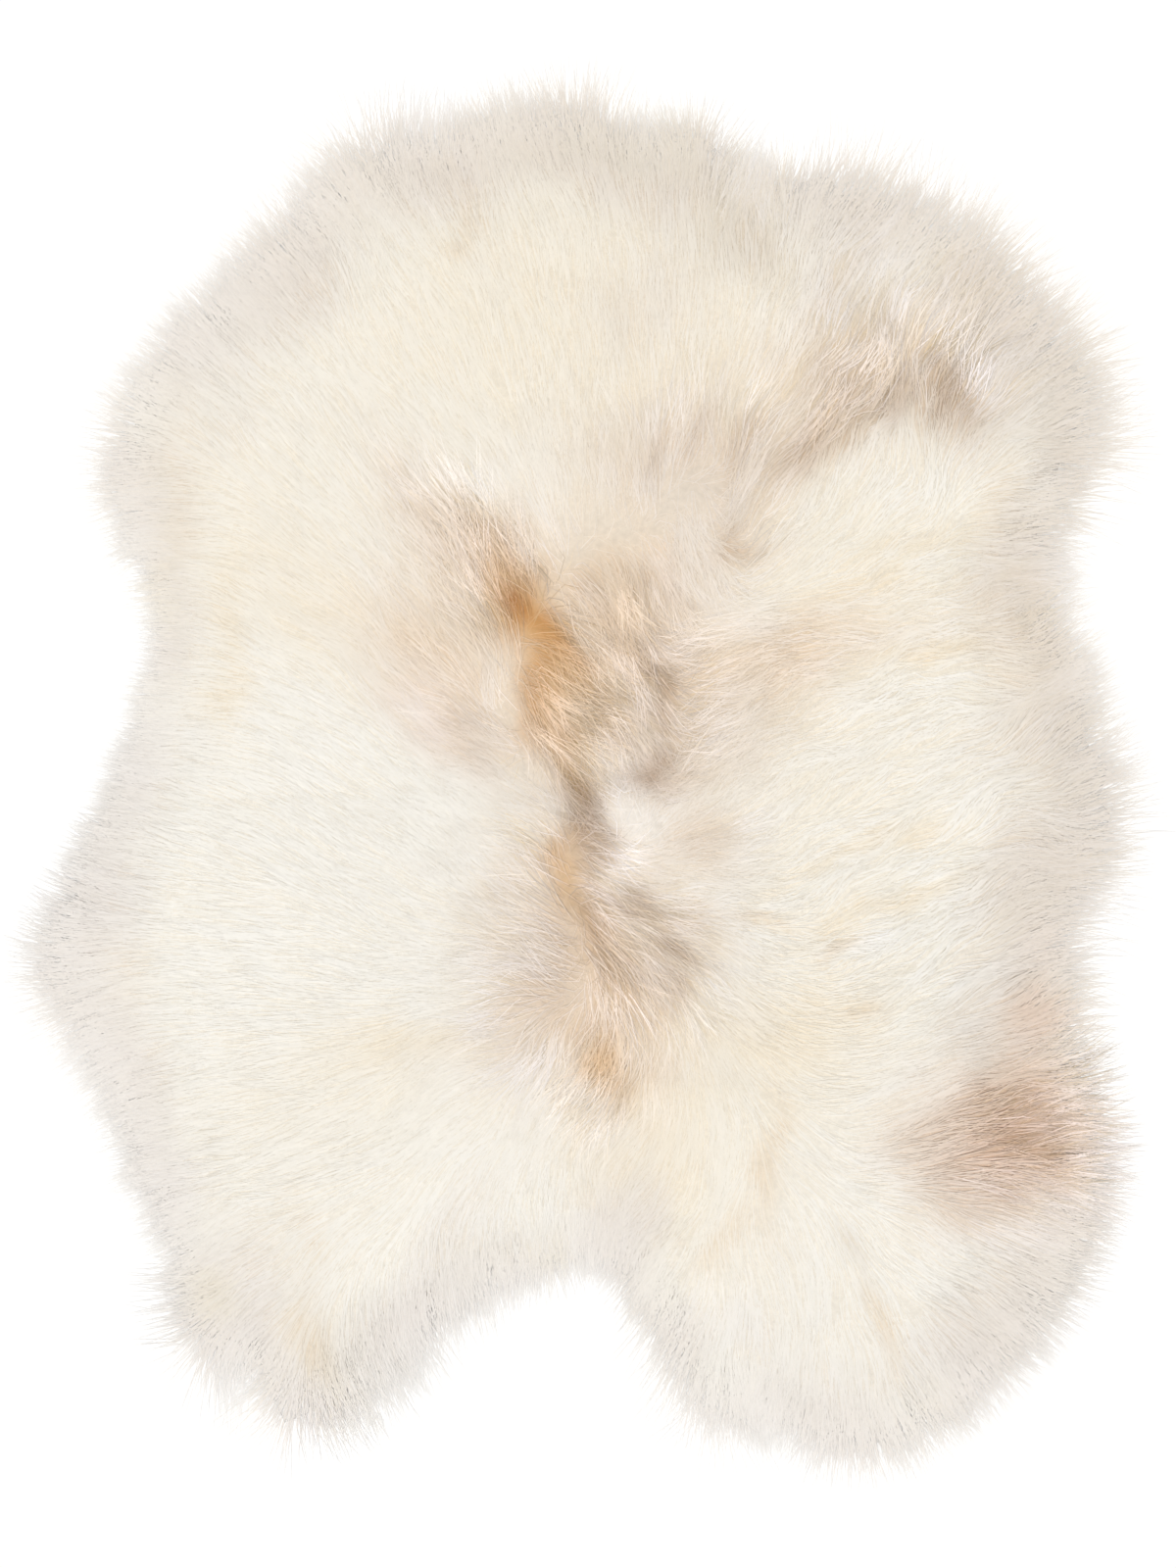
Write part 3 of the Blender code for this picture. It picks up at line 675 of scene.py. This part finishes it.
def habit(plain, rim=0, right=0, back=0, dark=0, deep=0, edge=0):
    """An amount over the bed: in plain wool, and what the rest add where they're all there."""
    return (
        plain + rim * rim_share + right * right_side + back * centre_share
        + dark * dark_share + deep * deep_share + edge * edge_share
    )


x, y = np.meshgrid(columns[:-1], rows[:-1])
in_area = (y > NECK_LINE, y < HIND_LINE, x < LEFT_LINE, x > RIGHT_LINE, y > 0)
areas = np.select(in_area, (NECK, HIND, LEFT, RIGHT, UPPER_BACK), LOWER_BACK)
rim_share = 1 - ramp(inset, 0, RIM_WIDTH)
edge_share = ramp(-inset, -EDGE_WIDTH, EDGE_BLEND)
dark_share = 1 - ramp(wool_colour[:, 2], DARK_BLUE, DARK_BLEND)
deep_share = dark_share ** DEEP
held = 1 - EDGE_LOOSENESS * edge_share
loft = LOFT + MARK_LOFT * deep_share * (1 - rim_share) + FLANK_LOFT * right_side
tell(bed_mesh, "area", areas, "INT", "FACE")
tell(bed_mesh, "lie", np.column_stack((lie, np.zeros(len(plan)))), "FLOAT_VECTOR")
tell(bed_mesh, "wool_colour", wool_colour, "FLOAT_VECTOR")
tell(bed_mesh, "strand_length", strand_length)
tell(bed_mesh, "closeness", ramp(inset, -ROOT_REACH, 2 * ROOT_REACH) * habit(1, rim=2.6))
tell(bed_mesh, "thickness", habit(1.12, rim=-0.54, back=-0.42))
tell(bed_mesh, "loft", loft * (1 - TIP_LOFT_LOSS * ramp(past_skin, 0, TIP_REACH)))
tell(bed_mesh, "stray", habit(0.30, right=-0.10, back=0.60, edge=0.30))
tell(bed_mesh, "frizz", habit(0.10, edge=0.60) + MARK_FRIZZ * dark_share * (1 - edge_share))
tell(bed_mesh, "ruffle", habit(0.004, back=0.008))
tell(bed_mesh, "wave", habit(0.0008, right=0.0016))
tell(bed_mesh, "tuft_pull", habit(0.40, right=0.10) * held)
tell(bed_mesh, "wisp_pull", habit(0.40, dark=0.25) * held)
tell(bed_mesh, "mottle", habit(0.01, deep=0.57))
tell(bed_mesh, "streaks", habit(0.035, right=0.065, dark=0.42))


# The underwool: the short dense wool next to the skin, matted into a soft bed that
# the long wool stands on. It grows from the skin, so it covers it to the cut edge.
UNDERWOOL_RINGS = 36
UNDERWOOL_COLUMNS = 200
UNDERWOOL_EDGE = 0.050       # the furthest that it spills over the skin's edge
UNDERWOOL_SHARE = 0.60       # and the most that it takes up of the wool's own overhang
UNDERWOOL_RAGGED = 0.13      # how uneven its own edge is, as a share of that
UNDERWOOL_TEETH = 37         # how many points that edge has
UNDERWOOL_CROWDS = 11        # and in how many places they crowd together
UNDERWOOL_LIP = 0.03         # how thick it is there, as a share of the bed's height
UNDERWOOL_SLOPE = 0.6        # how it thickens from there inwards: 1 is a straight line
UNDERWOOL_FLOOR = 0.0004     # how far it lies above the floor outside the skin
UNDERWOOL_RISE = 0.0002      # how far it stands above the bed inside the skin's edge
# A warm tint for painted light: the light that the wool throws back into the gaps between its strands.
UNDERWOOL_BOUNCE_TINT = (1.0, 0.975, 0.935)
FADING = (0.1, 0.5)          # the shares of the overhang between which it is lightened to white: painted light against the shade of the wool above
UNDERWOOL_LIGHT = (0.90, 1.0)   # its brightness in the dark and the light of its streaks
UNDERWOOL_ROUGHNESS = 0.95
FIBRE_SCALE = 420.0
FIBRE_DETAIL = 5.0
FIBRE_STRENGTH = 0.6
FIBRE_DEPTH = 0.0015
SKIN_CLEARANCE = 0.0003
WOOL_WHITE = (0.9, 0.88, 0.8)
WOOL_SHINE = 0.25
WOOL_SHEEN = 0.15
SHEEN_ROUGHNESS = 0.5
STREAK_SCALE = 260.0
STREAK_DETAIL = 3.0
STREAK_RANGE = (0.3, 0.7)    # the part of the grain's range that its light and dark run over


def bed_at(points, field):
    """The field between the bed's points, at each of these places."""
    place = (points - (columns[0], rows[0])) / BED_STEP
    cell = np.clip(np.floor(place).astype(int), 0, (shape[1] - 2, shape[0] - 2))
    part = np.clip(place - cell, 0, 1)
    grid = field.reshape(shape)
    c, r = cell.T
    near = grid[r, c] * (1 - part[:, 0]) + grid[r, c + 1] * part[:, 0]
    far = grid[r + 1, c] * (1 - part[:, 0]) + grid[r + 1, c + 1] * part[:, 0]
    return near * (1 - part[:, 1]) + far * part[:, 1]


def wool_finish(name, brightness, roughness):
    """Wool in the colour that the piece carries as an attribute: its own colour, with painted shade and
    light at the rim and in the hollows and partings.
    """
    finish, shader = plain_finish(name, WOOL_WHITE, roughness)
    tree = finish.node_tree
    colour_and_shading = add_step(tree, "ShaderNodeAttribute", {}, "Vector", attribute_name="wool_colour")
    streaks = {"Value": grain(tree, STREAK_SCALE, STREAK_DETAIL)}
    streaks.update({"From Min": STREAK_RANGE[0], "From Max": STREAK_RANGE[1]})
    streaks.update({"To Min": brightness[0], "To Max": brightness[1]})
    light = add_step(tree, "ShaderNodeMapRange", streaks)
    dye = add_step(tree, "ShaderNodeVectorMath", {0: colour_and_shading, "Scale": light}, operation="SCALE")
    feed(shader, {"Base Color": dye, "Specular IOR Level": WOOL_SHINE})
    feed(shader, {"Sheen Weight": WOOL_SHEEN, "Sheen Roughness": SHEEN_ROUGHNESS})
    return finish, shader, dye


angles = np.arange(UNDERWOOL_COLUMNS) / UNDERWOOL_COLUMNS * 2 * math.pi
rays = np.stack((np.cos(angles), np.sin(angles)), axis=1)
skin_line = rays * (polar(rays, skin_outline) + SKIN_CLEARANCE)[:, None]
overhang = polar(rays, wool_edge) - polar(rays, skin_outline)
spill = np.minimum(UNDERWOOL_EDGE, UNDERWOOL_SHARE * overhang)
teeth = np.sin(UNDERWOOL_TEETH * angles + 2 * np.sin(UNDERWOOL_CROWDS * angles))
spill *= 1 - UNDERWOOL_RAGGED + UNDERWOOL_RAGGED * teeth
under_line = rays * (polar(rays, skin_outline) + spill)[:, None]
level = np.ones(UNDERWOOL_COLUMNS)
base_height = skin_high.z + SKIN_CLEARANCE
bm = bmesh.new()
under_rings = []
for ring in range(UNDERWOOL_RINGS):
    places = under_line * (1 - ring / UNDERWOOL_RINGS)
    from_edge = ramp(np.hypot(*(under_line - places).T), 0, spill)
    thickness = UNDERWOOL_LIP + (1 - UNDERWOOL_LIP) * from_edge ** UNDERWOOL_SLOPE
    top = (bed_at(places, bed_height) - UNDERWOOL_FLOOR) * thickness
    under_rings.append(add_ring(bm, places, top + UNDERWOOL_FLOOR + UNDERWOOL_RISE * from_edge))
under_rings.insert(0, add_ring(bm, under_line, level * UNDERWOOL_FLOOR))
under_rings.insert(0, add_ring(bm, skin_line, level * UNDERWOOL_FLOOR))
under_rings.insert(0, add_ring(bm, skin_line, level * base_height))
peak_height = bed_at(np.zeros((1, 2)), bed_height)[0] + UNDERWOOL_RISE
add_faces(bm, under_rings, bm.verts.new((0, 0, peak_height)))
add_faces(bm, under_rings[:1], bm.verts.new((0, 0, base_height)))
underwool_mesh = closed_mesh("underwool", bm)
underwool_mesh.shade_smooth()
places = corners_of(underwool_mesh)[:, :2]
tint = np.stack([bed_at(places, wool_colour[:, k]) for k in range(3)], axis=1)
# Painted light: warmed for the light that the wool throws back and forth, and lightened to white
# towards the edge, against the shade of the wool above.
tint *= UNDERWOOL_BOUNCE_TINT
tint += (1 - tint) * np.interp(bed_at(places, past_skin), FADING, (0, 1))[:, None]
tell(underwool_mesh, "wool_colour", tint, "FLOAT_VECTOR")

underwool_finish, shader, _ = wool_finish("matted underwool", UNDERWOOL_LIGHT, UNDERWOOL_ROUGHNESS)
tree = underwool_finish.node_tree
fibres = relief(tree, grain(tree, FIBRE_SCALE, FIBRE_DETAIL), FIBRE_STRENGTH, FIBRE_DEPTH)
feed(shader, {"Normal": fibres})
underwool_mesh.materials.append(underwool_finish)
underwool = add_object("underwool", underwool_mesh)


# The long wool: locks of fine crimped strands, combed flat over one another like shingles.
# Each strand grows from the bed, follows the combing, and draws together with its tuft.
LARGE_TUFT_SEED = 11
SMALL_TUFT_SEED = 12
TUFT_LOTS_SEED = 30
DRIFT_SEED = 77
# A strand's own lot, its wisp's (the small tuft) and its lock's (the large one) each have a
# share in how it differs from the strands beside it.
TURN_SHARES = (0.35, 0.75, 0.45)    # of the strand, the wisp and the lock
LAYER_SHARES = (0.35, 0.45, 0.2)
TONE_SHARES = (0.6, 0.7, 0.2)
LENGTH_SHARES = (0.45, 0.25, 0.1)   # of the strand, the lock and the wisp
STREAK_SHARES = (0.4, -0.7, 0.2)    # of the lock, the wisp and the strand
FRIZZ_LOTS = 17.0               # a second lot: what so many times the first has past whole ones
LONGEST = 1.14                  # the longest strands, against the length that their place gives
TIP_PULL = 1.4                  # how late a lock's strands draw together: 1 is evenly
WAVE_PATCHES = 18.0             # how finely the waves change step from tuft to tuft
WAVE_STEPS = 3.0                # how many waves tufts may be out of step by
OWN_WAVE_STEP = 0.25            # and a strand with its tuft
MEAN_LAYER = 0.7                # the share of the loft that a strand of the middle rises by
RISE = 3.0                      # how soon it rises: more is sooner
ROOT_DEPTH = 0.002              # how far its root is sunk in the underwool
LOWEST = 0.0006                 # the lowest that a strand may lie over the floor
ROOT_TONE = 0.2                 # the share of its root's colour that a strand keeps
BLEACHING = 0.7                 # how far the palest strands of the back are bleached
STRAW_SHARE = (0.6, 0.85, 1.5)  # how much of each colour a streak of yellower wool takes away
BELLY = 0.5                     # how soon a strand thickens
TAPER = 2.2                     # how late it thins to its tip
FULLNESS = 1.45                 # makes up for what both of these take from its middle
THINNEST = 0.7                  # the finest strands, against the middling ones
THICKER = 0.6                   # and how much is added for the coarsest
STRAND_TURN = math.radians(-30)
STRAND_FLATNESS = (1.0, 0.2, 1.0)
WELD = 1e-6                     # ends closer than this are one point


class Recipe:
    """A Geometry Nodes tree, written one step at a time."""

    def __init__(self, name):
        self.tree = bpy.data.node_groups.new(name, "GeometryNodeTree")
        self.given_by_name = {}
        self.entry = self.tree.nodes.new("NodeGroupInput")

    def given(self, name, kind="Float"):
        """A named size that the modifier sets, as a socket to feed steps with."""
        socket = self.tree.interface.new_socket(name, in_out="INPUT", socket_type="NodeSocket" + kind)
        self.given_by_name[name] = socket.identifier
        return self.entry.outputs[name]

    def step(self, kind, feeds, out=None, **settings):
        return add_step(self.tree, kind, feeds, out, **settings)

    def number(self, operation, first, *others):
        """The first with the second, then the result with the third, and so on."""
        for other in others or (0.0,):
            first = self.step("ShaderNodeMath", {0: first, 1: other}, operation=operation)
        return first

    def product(self, *numbers):
        return self.number("MULTIPLY", *numbers)

    def total(self, *numbers):
        return self.number("ADD", *numbers)

    def vector(self, operation, a, b=(0, 0, 0)):
        return self.step("ShaderNodeVectorMath", {0: a, 1: b}, "Vector", operation=operation)

    def scaled(self, a, amount):
        return self.step("ShaderNodeVectorMath", {0: a, "Scale": amount}, "Vector", operation="SCALE")

    def parts(self, vector):
        return self.step("ShaderNodeSeparateXYZ", {0: vector}, "X").node.outputs

    def field(self, name, kind="FLOAT"):
        return self.step("GeometryNodeInputNamedAttribute", {"Name": name}, "Attribute", data_type=kind)

    def vector_field(self, name):
        return self.field(name, "FLOAT_VECTOR")

    def store(self, geometry, name, value, kind="FLOAT_VECTOR"):
        feeds = {"Geometry": geometry, "Name": name, "Value": value}
        return self.step("GeometryNodeStoreNamedAttribute", feeds, data_type=kind, domain="POINT")

    def lots(self, seed, low=(0, 0, 0), high=(1, 1, 1)):
        """Three numbers drawn at random for each point."""
        feeds = {"Min": low, "Max": high, "Seed": seed}
        return self.step("FunctionNodeRandomValue", feeds, data_type="FLOAT_VECTOR")

    def finish(self, geometry):
        self.tree.interface.new_socket("Wool", in_out="OUTPUT", socket_type="NodeSocketGeometry")
        exit_node = self.tree.nodes.new("NodeGroupOutput")
        self.tree.links.new(geometry, exit_node.inputs[0])


def wool_recipe(name, segments):
    """Strands with a number of segments, three sides, and a point at each end."""
    wool = Recipe(name)
    bed = wool.given("Bed", "Geometry")
    area = wool.given("Area", "Int")
    strands = wool.given("Strands in a square metre")
    thickness = wool.given("Thickness")
    large_tufts = wool.given("Large tufts in a square metre")
    small_tufts = wool.given("Small tufts in a square metre")
    stray = wool.given("Stray")
    crimps = wool.given("Crimps in a strand")
    seed = wool.given("Seed", "Int")
    finish = wool.given("Finish", "Material")

    # Roots, spread over this piece's area of the bed.
    feeds = {"A": wool.field("area", "INT"), "B": area}
    here = wool.step("FunctionNodeCompare", feeds, data_type="INT", operation="EQUAL")
    density = wool.product(strands, wool.field("closeness"))
    feeds = {"Mesh": bed, "Selection": here, "Density": density, "Seed": seed}
    roots = wool.step("GeometryNodeDistributePointsOnFaces", feeds, "Points")
    position = wool.step("GeometryNodeInputPosition", {})
    roots = wool.store(roots, "root", position)
    roots = wool.store(roots, "chance", wool.lots(seed))
    roots = wool.store(roots, "drift", wool.lots(DRIFT_SEED, (-1, -1, 0), (1, 1, 0)))
    for tuft, tufts, tuft_seed in (
        ("large_tuft", large_tufts, LARGE_TUFT_SEED), ("small_tuft", small_tufts, SMALL_TUFT_SEED)
    ):
        feeds = {"Mesh": bed, "Density": tufts, "Seed": tuft_seed}
        centres = wool.step("GeometryNodeDistributePointsOnFaces", feeds, "Points")
        feeds = {"Geometry": centres, "Sample Position": position}
        nearest = wool.step("GeometryNodeSampleNearest", feeds)
        for field_name, value in ((tuft, position), (tuft + "_lots", wool.lots(TUFT_LOTS_SEED))):
            feeds = {"Geometry": centres, "Value": value, "Index": nearest}
            own_tuft = wool.step("GeometryNodeSampleIndex", feeds, data_type="FLOAT_VECTOR")
            roots = wool.store(roots, field_name, own_tuft)

    # One plain line for each root, which the next steps shape.
    line = wool.step("GeometryNodeCurvePrimitiveLine", {"End": (0, 0, 0.01)})
    line = wool.step("GeometryNodeResampleCurve", {"Curve": line, "Count": segments + 1})
    lines = wool.step("GeometryNodeInstanceOnPoints", {"Points": roots, "Instance": line})
    lines = wool.step("GeometryNodeRealizeInstances", {"Geometry": lines})
    share = wool.step("GeometryNodeSplineParameter", {}, "Factor")
    lines = wool.store(lines, "along", share, "FLOAT")
    root = wool.vector_field("root")
    lines = wool.step("GeometryNodeSetPosition", {"Geometry": lines, "Position": root})

    # The strand follows the combing, a segment at a time.
    along = wool.field("along")
    lot_a, lot_b, lot_c = wool.parts(wool.vector_field("chance"))
    lock_a, lock_b, lock_c = wool.parts(wool.vector_field("large_tuft_lots"))
    wisp_a, wisp_b, wisp_c = wool.parts(wool.vector_field("small_tuft_lots"))

    def blend_of(lots, shares):
        """The sum of some lots, each 0 to 1, by their shares, less half of the shares."""
        total = -sum(shares) / 2
        for lot, share in zip(lots, shares):
            total = wool.total(wool.product(lot, share), total)
        return total

    def over_bed(kind, out, field=None, shift=None):
        """What the bed has straight below each point: its field, or the place itself."""
        above = wool.vector("ADD", wool.vector("MULTIPLY", position, (1, 1, 0)), (0, 0, 1))
        if shift is not None:
            above = wool.vector("ADD", above, shift)
        feeds = {"Target Geometry": bed, "Source Position": above, "Ray Direction": (0, 0, -1)}
        feeds["Ray Length"] = 2.0
        if field is not None:
            feeds["Attribute"] = field
        return wool.step("GeometryNodeRaycast", feeds, out, data_type=kind)

    own_turn = wool.product(blend_of((lot_a, wisp_a, lock_a), TURN_SHARES), stray, wool.field("stray"))
    own_kink = wool.number("SUBTRACT", wool.number("FRACT", wool.product(lot_a, FRIZZ_LOTS)), 0.5)
    own_turn = wool.total(own_turn, wool.product(own_kink, wool.field("frizz")))
    own_length = wool.total(blend_of((lot_b, lock_b, wisp_b), LENGTH_SHARES), 1.0)
    own_length = wool.number("MINIMUM", own_length, LONGEST)
    stride = wool.number("DIVIDE", wool.product(wool.field("strand_length"), own_length), segments)
    ruffled = wool.scaled(wool.vector_field("drift"), wool.field("ruffle"))
    for segment in range(segments):
        lie_here = over_bed("FLOAT_VECTOR", "Attribute", wool.vector_field("lie"), ruffled)
        feeds = {"Vector": lie_here, "Angle": own_turn}
        turned = wool.step("ShaderNodeVectorRotate", feeds, rotation_type="Z_AXIS")
        beyond = wool.number("GREATER_THAN", along, (segment + 0.5) / segments)
        feeds = {"Geometry": lines, "Selection": beyond, "Offset": wool.scaled(turned, stride)}
        lines = wool.step("GeometryNodeSetPosition", feeds)

    # It draws together with its tuft and waves from side to side.
    moved = None
    for tuft, pull in (
        ("large_tuft", wool.product(wool.field("tuft_pull"), wool.number("POWER", along, TIP_PULL))),
        ("small_tuft", wool.product(wool.field("wisp_pull"), along)),
    ):
        to_tuft = wool.vector("SUBTRACT", wool.vector_field(tuft), root)
        drawn = wool.scaled(wool.vector("MULTIPLY", to_tuft, (1, 1, 0)), pull)
        moved = drawn if moved is None else wool.vector("ADD", moved, drawn)
    side = wool.vector("CROSS_PRODUCT", wool.vector_field("lie"), (0, 0, 1))
    feeds = {"Vector": wool.vector_field("small_tuft"), "Scale": WAVE_PATCHES, "Detail": 1.0}
    phase = wool.product(wool.step("ShaderNodeTexNoise", feeds, "Fac"), WAVE_STEPS)
    cycles = wool.total(wool.product(along, crimps), phase, wool.product(lot_c, OWN_WAVE_STEP))
    sway = wool.number("SINE", wool.product(cycles, 2 * math.pi))
    sway = wool.product(sway, wool.product(wool.field("wave"), along))
    moved = wool.vector("ADD", moved, wool.scaled(side, sway))
    lines = wool.step("GeometryNodeSetPosition", {"Geometry": lines, "Offset": moved})

    # It rises from its root and lies on the wool below, on its own layer.
    ground = wool.parts(over_bed("FLOAT", "Hit Position"))[2]
    loft = over_bed("FLOAT", "Attribute", wool.field("loft"))
    back = wool.number("SUBTRACT", 1.0, along)
    rise = wool.number("SUBTRACT", 1.0, wool.number("POWER", back, RISE))
    layer = wool.total(blend_of((lot_c, wisp_c, lock_c), LAYER_SHARES), MEAN_LAYER)
    sink = wool.product(back, back, -ROOT_DEPTH)
    height = wool.total(ground, wool.total(wool.product(loft, rise, layer), sink))
    height = wool.number("MAXIMUM", height, LOWEST)
    own_place = wool.parts(position)
    place = wool.step("ShaderNodeCombineXYZ", {"X": own_place[0], "Y": own_place[1], "Z": height})
    lines = wool.step("GeometryNodeSetPosition", {"Geometry": lines, "Position": place})

    # Its colour is partly that of its root and partly that of the wool it lies in.
    colour_and_shading = wool.vector_field("wool_colour")
    around = over_bed("FLOAT_VECTOR", "Attribute", colour_and_shading)
    tone = wool.vector("ADD", wool.scaled(colour_and_shading, ROOT_TONE), wool.scaled(around, 1 - ROOT_TONE))
    own_tone = wool.product(blend_of((lot_c, wisp_b, lock_b), TONE_SHARES), wool.field("mottle"))
    tone = wool.scaled(tone, wool.total(own_tone, 1.0))
    bleached = wool.product(wool.number("MAXIMUM", own_tone, 0.0), BLEACHING)
    to_pale = wool.vector("SUBTRACT", tuple(daylight(LILAC)), tone)
    tone = wool.vector("ADD", tone, wool.scaled(to_pale, bleached))
    streak = wool.product(blend_of((lock_a, wisp_c, lot_b), STREAK_SHARES), wool.field("streaks"))
    straw = wool.vector("SUBTRACT", (1, 1, 1), wool.scaled(STRAW_SHARE, streak))
    lines = wool.store(lines, "wool_colour", wool.vector("MULTIPLY", tone, straw))

    # Three sides round it, thickest below its middle, and drawn to a point at each end.
    belly = wool.number("POWER", along, BELLY)
    taper = wool.number("SUBTRACT", 1.0, wool.number("POWER", along, TAPER))
    feeds = {0: lot_a, 1: THICKER, 2: THINNEST}
    own_girth = wool.step("ShaderNodeMath", feeds, operation="MULTIPLY_ADD")
    own_girth = wool.product(own_girth, wool.field("thickness"))
    girth = wool.product(belly, taper, FULLNESS, own_girth, wool.product(thickness, 0.5))
    feeds = {"Resolution": 3, "Radius": 1.0}
    section = wool.step("GeometryNodeCurvePrimitiveCircle", feeds, mode="RADIUS")
    feeds = {"Geometry": section, "Rotation": (0, 0, STRAND_TURN)}
    section = wool.step("GeometryNodeTransform", feeds)
    section = wool.step("GeometryNodeTransform", {"Geometry": section, "Scale": STRAND_FLATNESS})
    lines = wool.step("GeometryNodeSetCurveNormal", {"Curve": lines}, mode="Z_UP")
    feeds = {"Curve": lines, "Profile Curve": section, "Scale": girth, "Fill Caps": True}
    made = wool.step("GeometryNodeCurveToMesh", feeds)
    for kind, feeds in (
        ("GeometryNodeMergeByDistance", {"Distance": WELD}),
        ("GeometryNodeSetShadeSmooth", {"Shade Smooth": False}),
        ("GeometryNodeRealizeInstances", {}),
        ("GeometryNodeSetMaterial", {"Material": finish}),
    ):
        made = wool.step(kind, {"Geometry": made, **feeds})
    wool.finish(made)
    return wool


STRAND_BRIGHTNESS = (0.992, 1.008)  # the faint light and dark along a strand
STRAND_SPREAD = (0.995, 1.005)      # and between one strand and the next
STRAND_ROUGHNESS = 0.8
strand_finish, shader, dye = wool_finish("combed wool", STRAND_BRIGHTNESS, STRAND_ROUGHNESS)
tree = strand_finish.node_tree
chance = add_step(tree, "ShaderNodeAttribute", {}, "Vector", attribute_name="chance")
own_lot = add_step(tree, "ShaderNodeSeparateXYZ", {0: chance}, "X")
feeds = {"Value": own_lot, "To Min": STRAND_SPREAD[0], "To Max": STRAND_SPREAD[1]}
spread = add_step(tree, "ShaderNodeMapRange", feeds)
varied = add_step(tree, "ShaderNodeVectorMath", {0: dye, "Scale": spread}, operation="SCALE")
feed(shader, {"Base Color": varied})

BAKE_MAP = "OFBake"
KEPT_FIELDS = ("position", "sharp_face", "wool_colour", "chance", "along", BAKE_MAP)


def grow(name, recipe, sizes):
    """Run the recipe over the bed and keep what grows as a plain mesh."""
    holder = add_object(name + "_bed", bed_mesh)
    modifier = holder.modifiers.new("wool", "NODES")
    modifier.node_group = recipe.tree
    for key, value in sizes.items():
        modifier[recipe.given_by_name[key]] = value
    graph = bpy.context.evaluated_depsgraph_get()
    mesh = bpy.data.meshes.new_from_object(holder.evaluated_get(graph), depsgraph=graph)
    bpy.data.objects.remove(holder)
    for field_name in [a.name for a in mesh.attributes]:
        field = mesh.attributes.get(field_name)
        if field_name not in KEPT_FIELDS and not field_name.startswith(".") and not field.is_required:
            mesh.attributes.remove(field)
    mesh.name = name
    corners = corners_of(mesh)[:, :2]
    low, high = corners.min(0), corners.max(0)
    loops = np.empty(len(mesh.loops), int)
    mesh.loops.foreach_get("vertex_index", loops)
    seen_from_above = (corners[loops] - low) / (high - low)
    mesh.uv_layers.new(name=BAKE_MAP).data.foreach_set("uv", seen_from_above.reshape(-1))
    return add_object(name, mesh)


WOOL_SIZES = {
    "Thickness": 0.0010,
    "Large tufts in a square metre": 2500.0,
    "Small tufts in a square metre": 20000.0,
    "Stray": 1.0,
    "Crimps in a strand": 1.3,
    "Finish": strand_finish,
}
straight_wool = wool_recipe("straight wool", 3)
wavy_wool = wool_recipe("wavy wool", 4)
wool_pieces = []
for name, recipe, area, strands in (
    ("neck_wool", straight_wool, NECK, 94000.0),
    ("hind_wool", straight_wool, HIND, 96000.0),
    ("left_flank_wool", straight_wool, LEFT, 102000.0),
    ("upper_back_wool", straight_wool, UPPER_BACK, 205000.0),
    ("lower_back_wool", straight_wool, LOWER_BACK, 205000.0),
    ("right_flank_wool", wavy_wool, RIGHT, 73000.0),
):
    sizes = {**WOOL_SIZES, "Area": area, "Seed": area + 1, "Strands in a square metre": strands}
    wool_pieces.append(grow(name, recipe, sizes))

for piece in [underwool] + wool_pieces:
    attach(piece, "root")
    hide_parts("fleece")
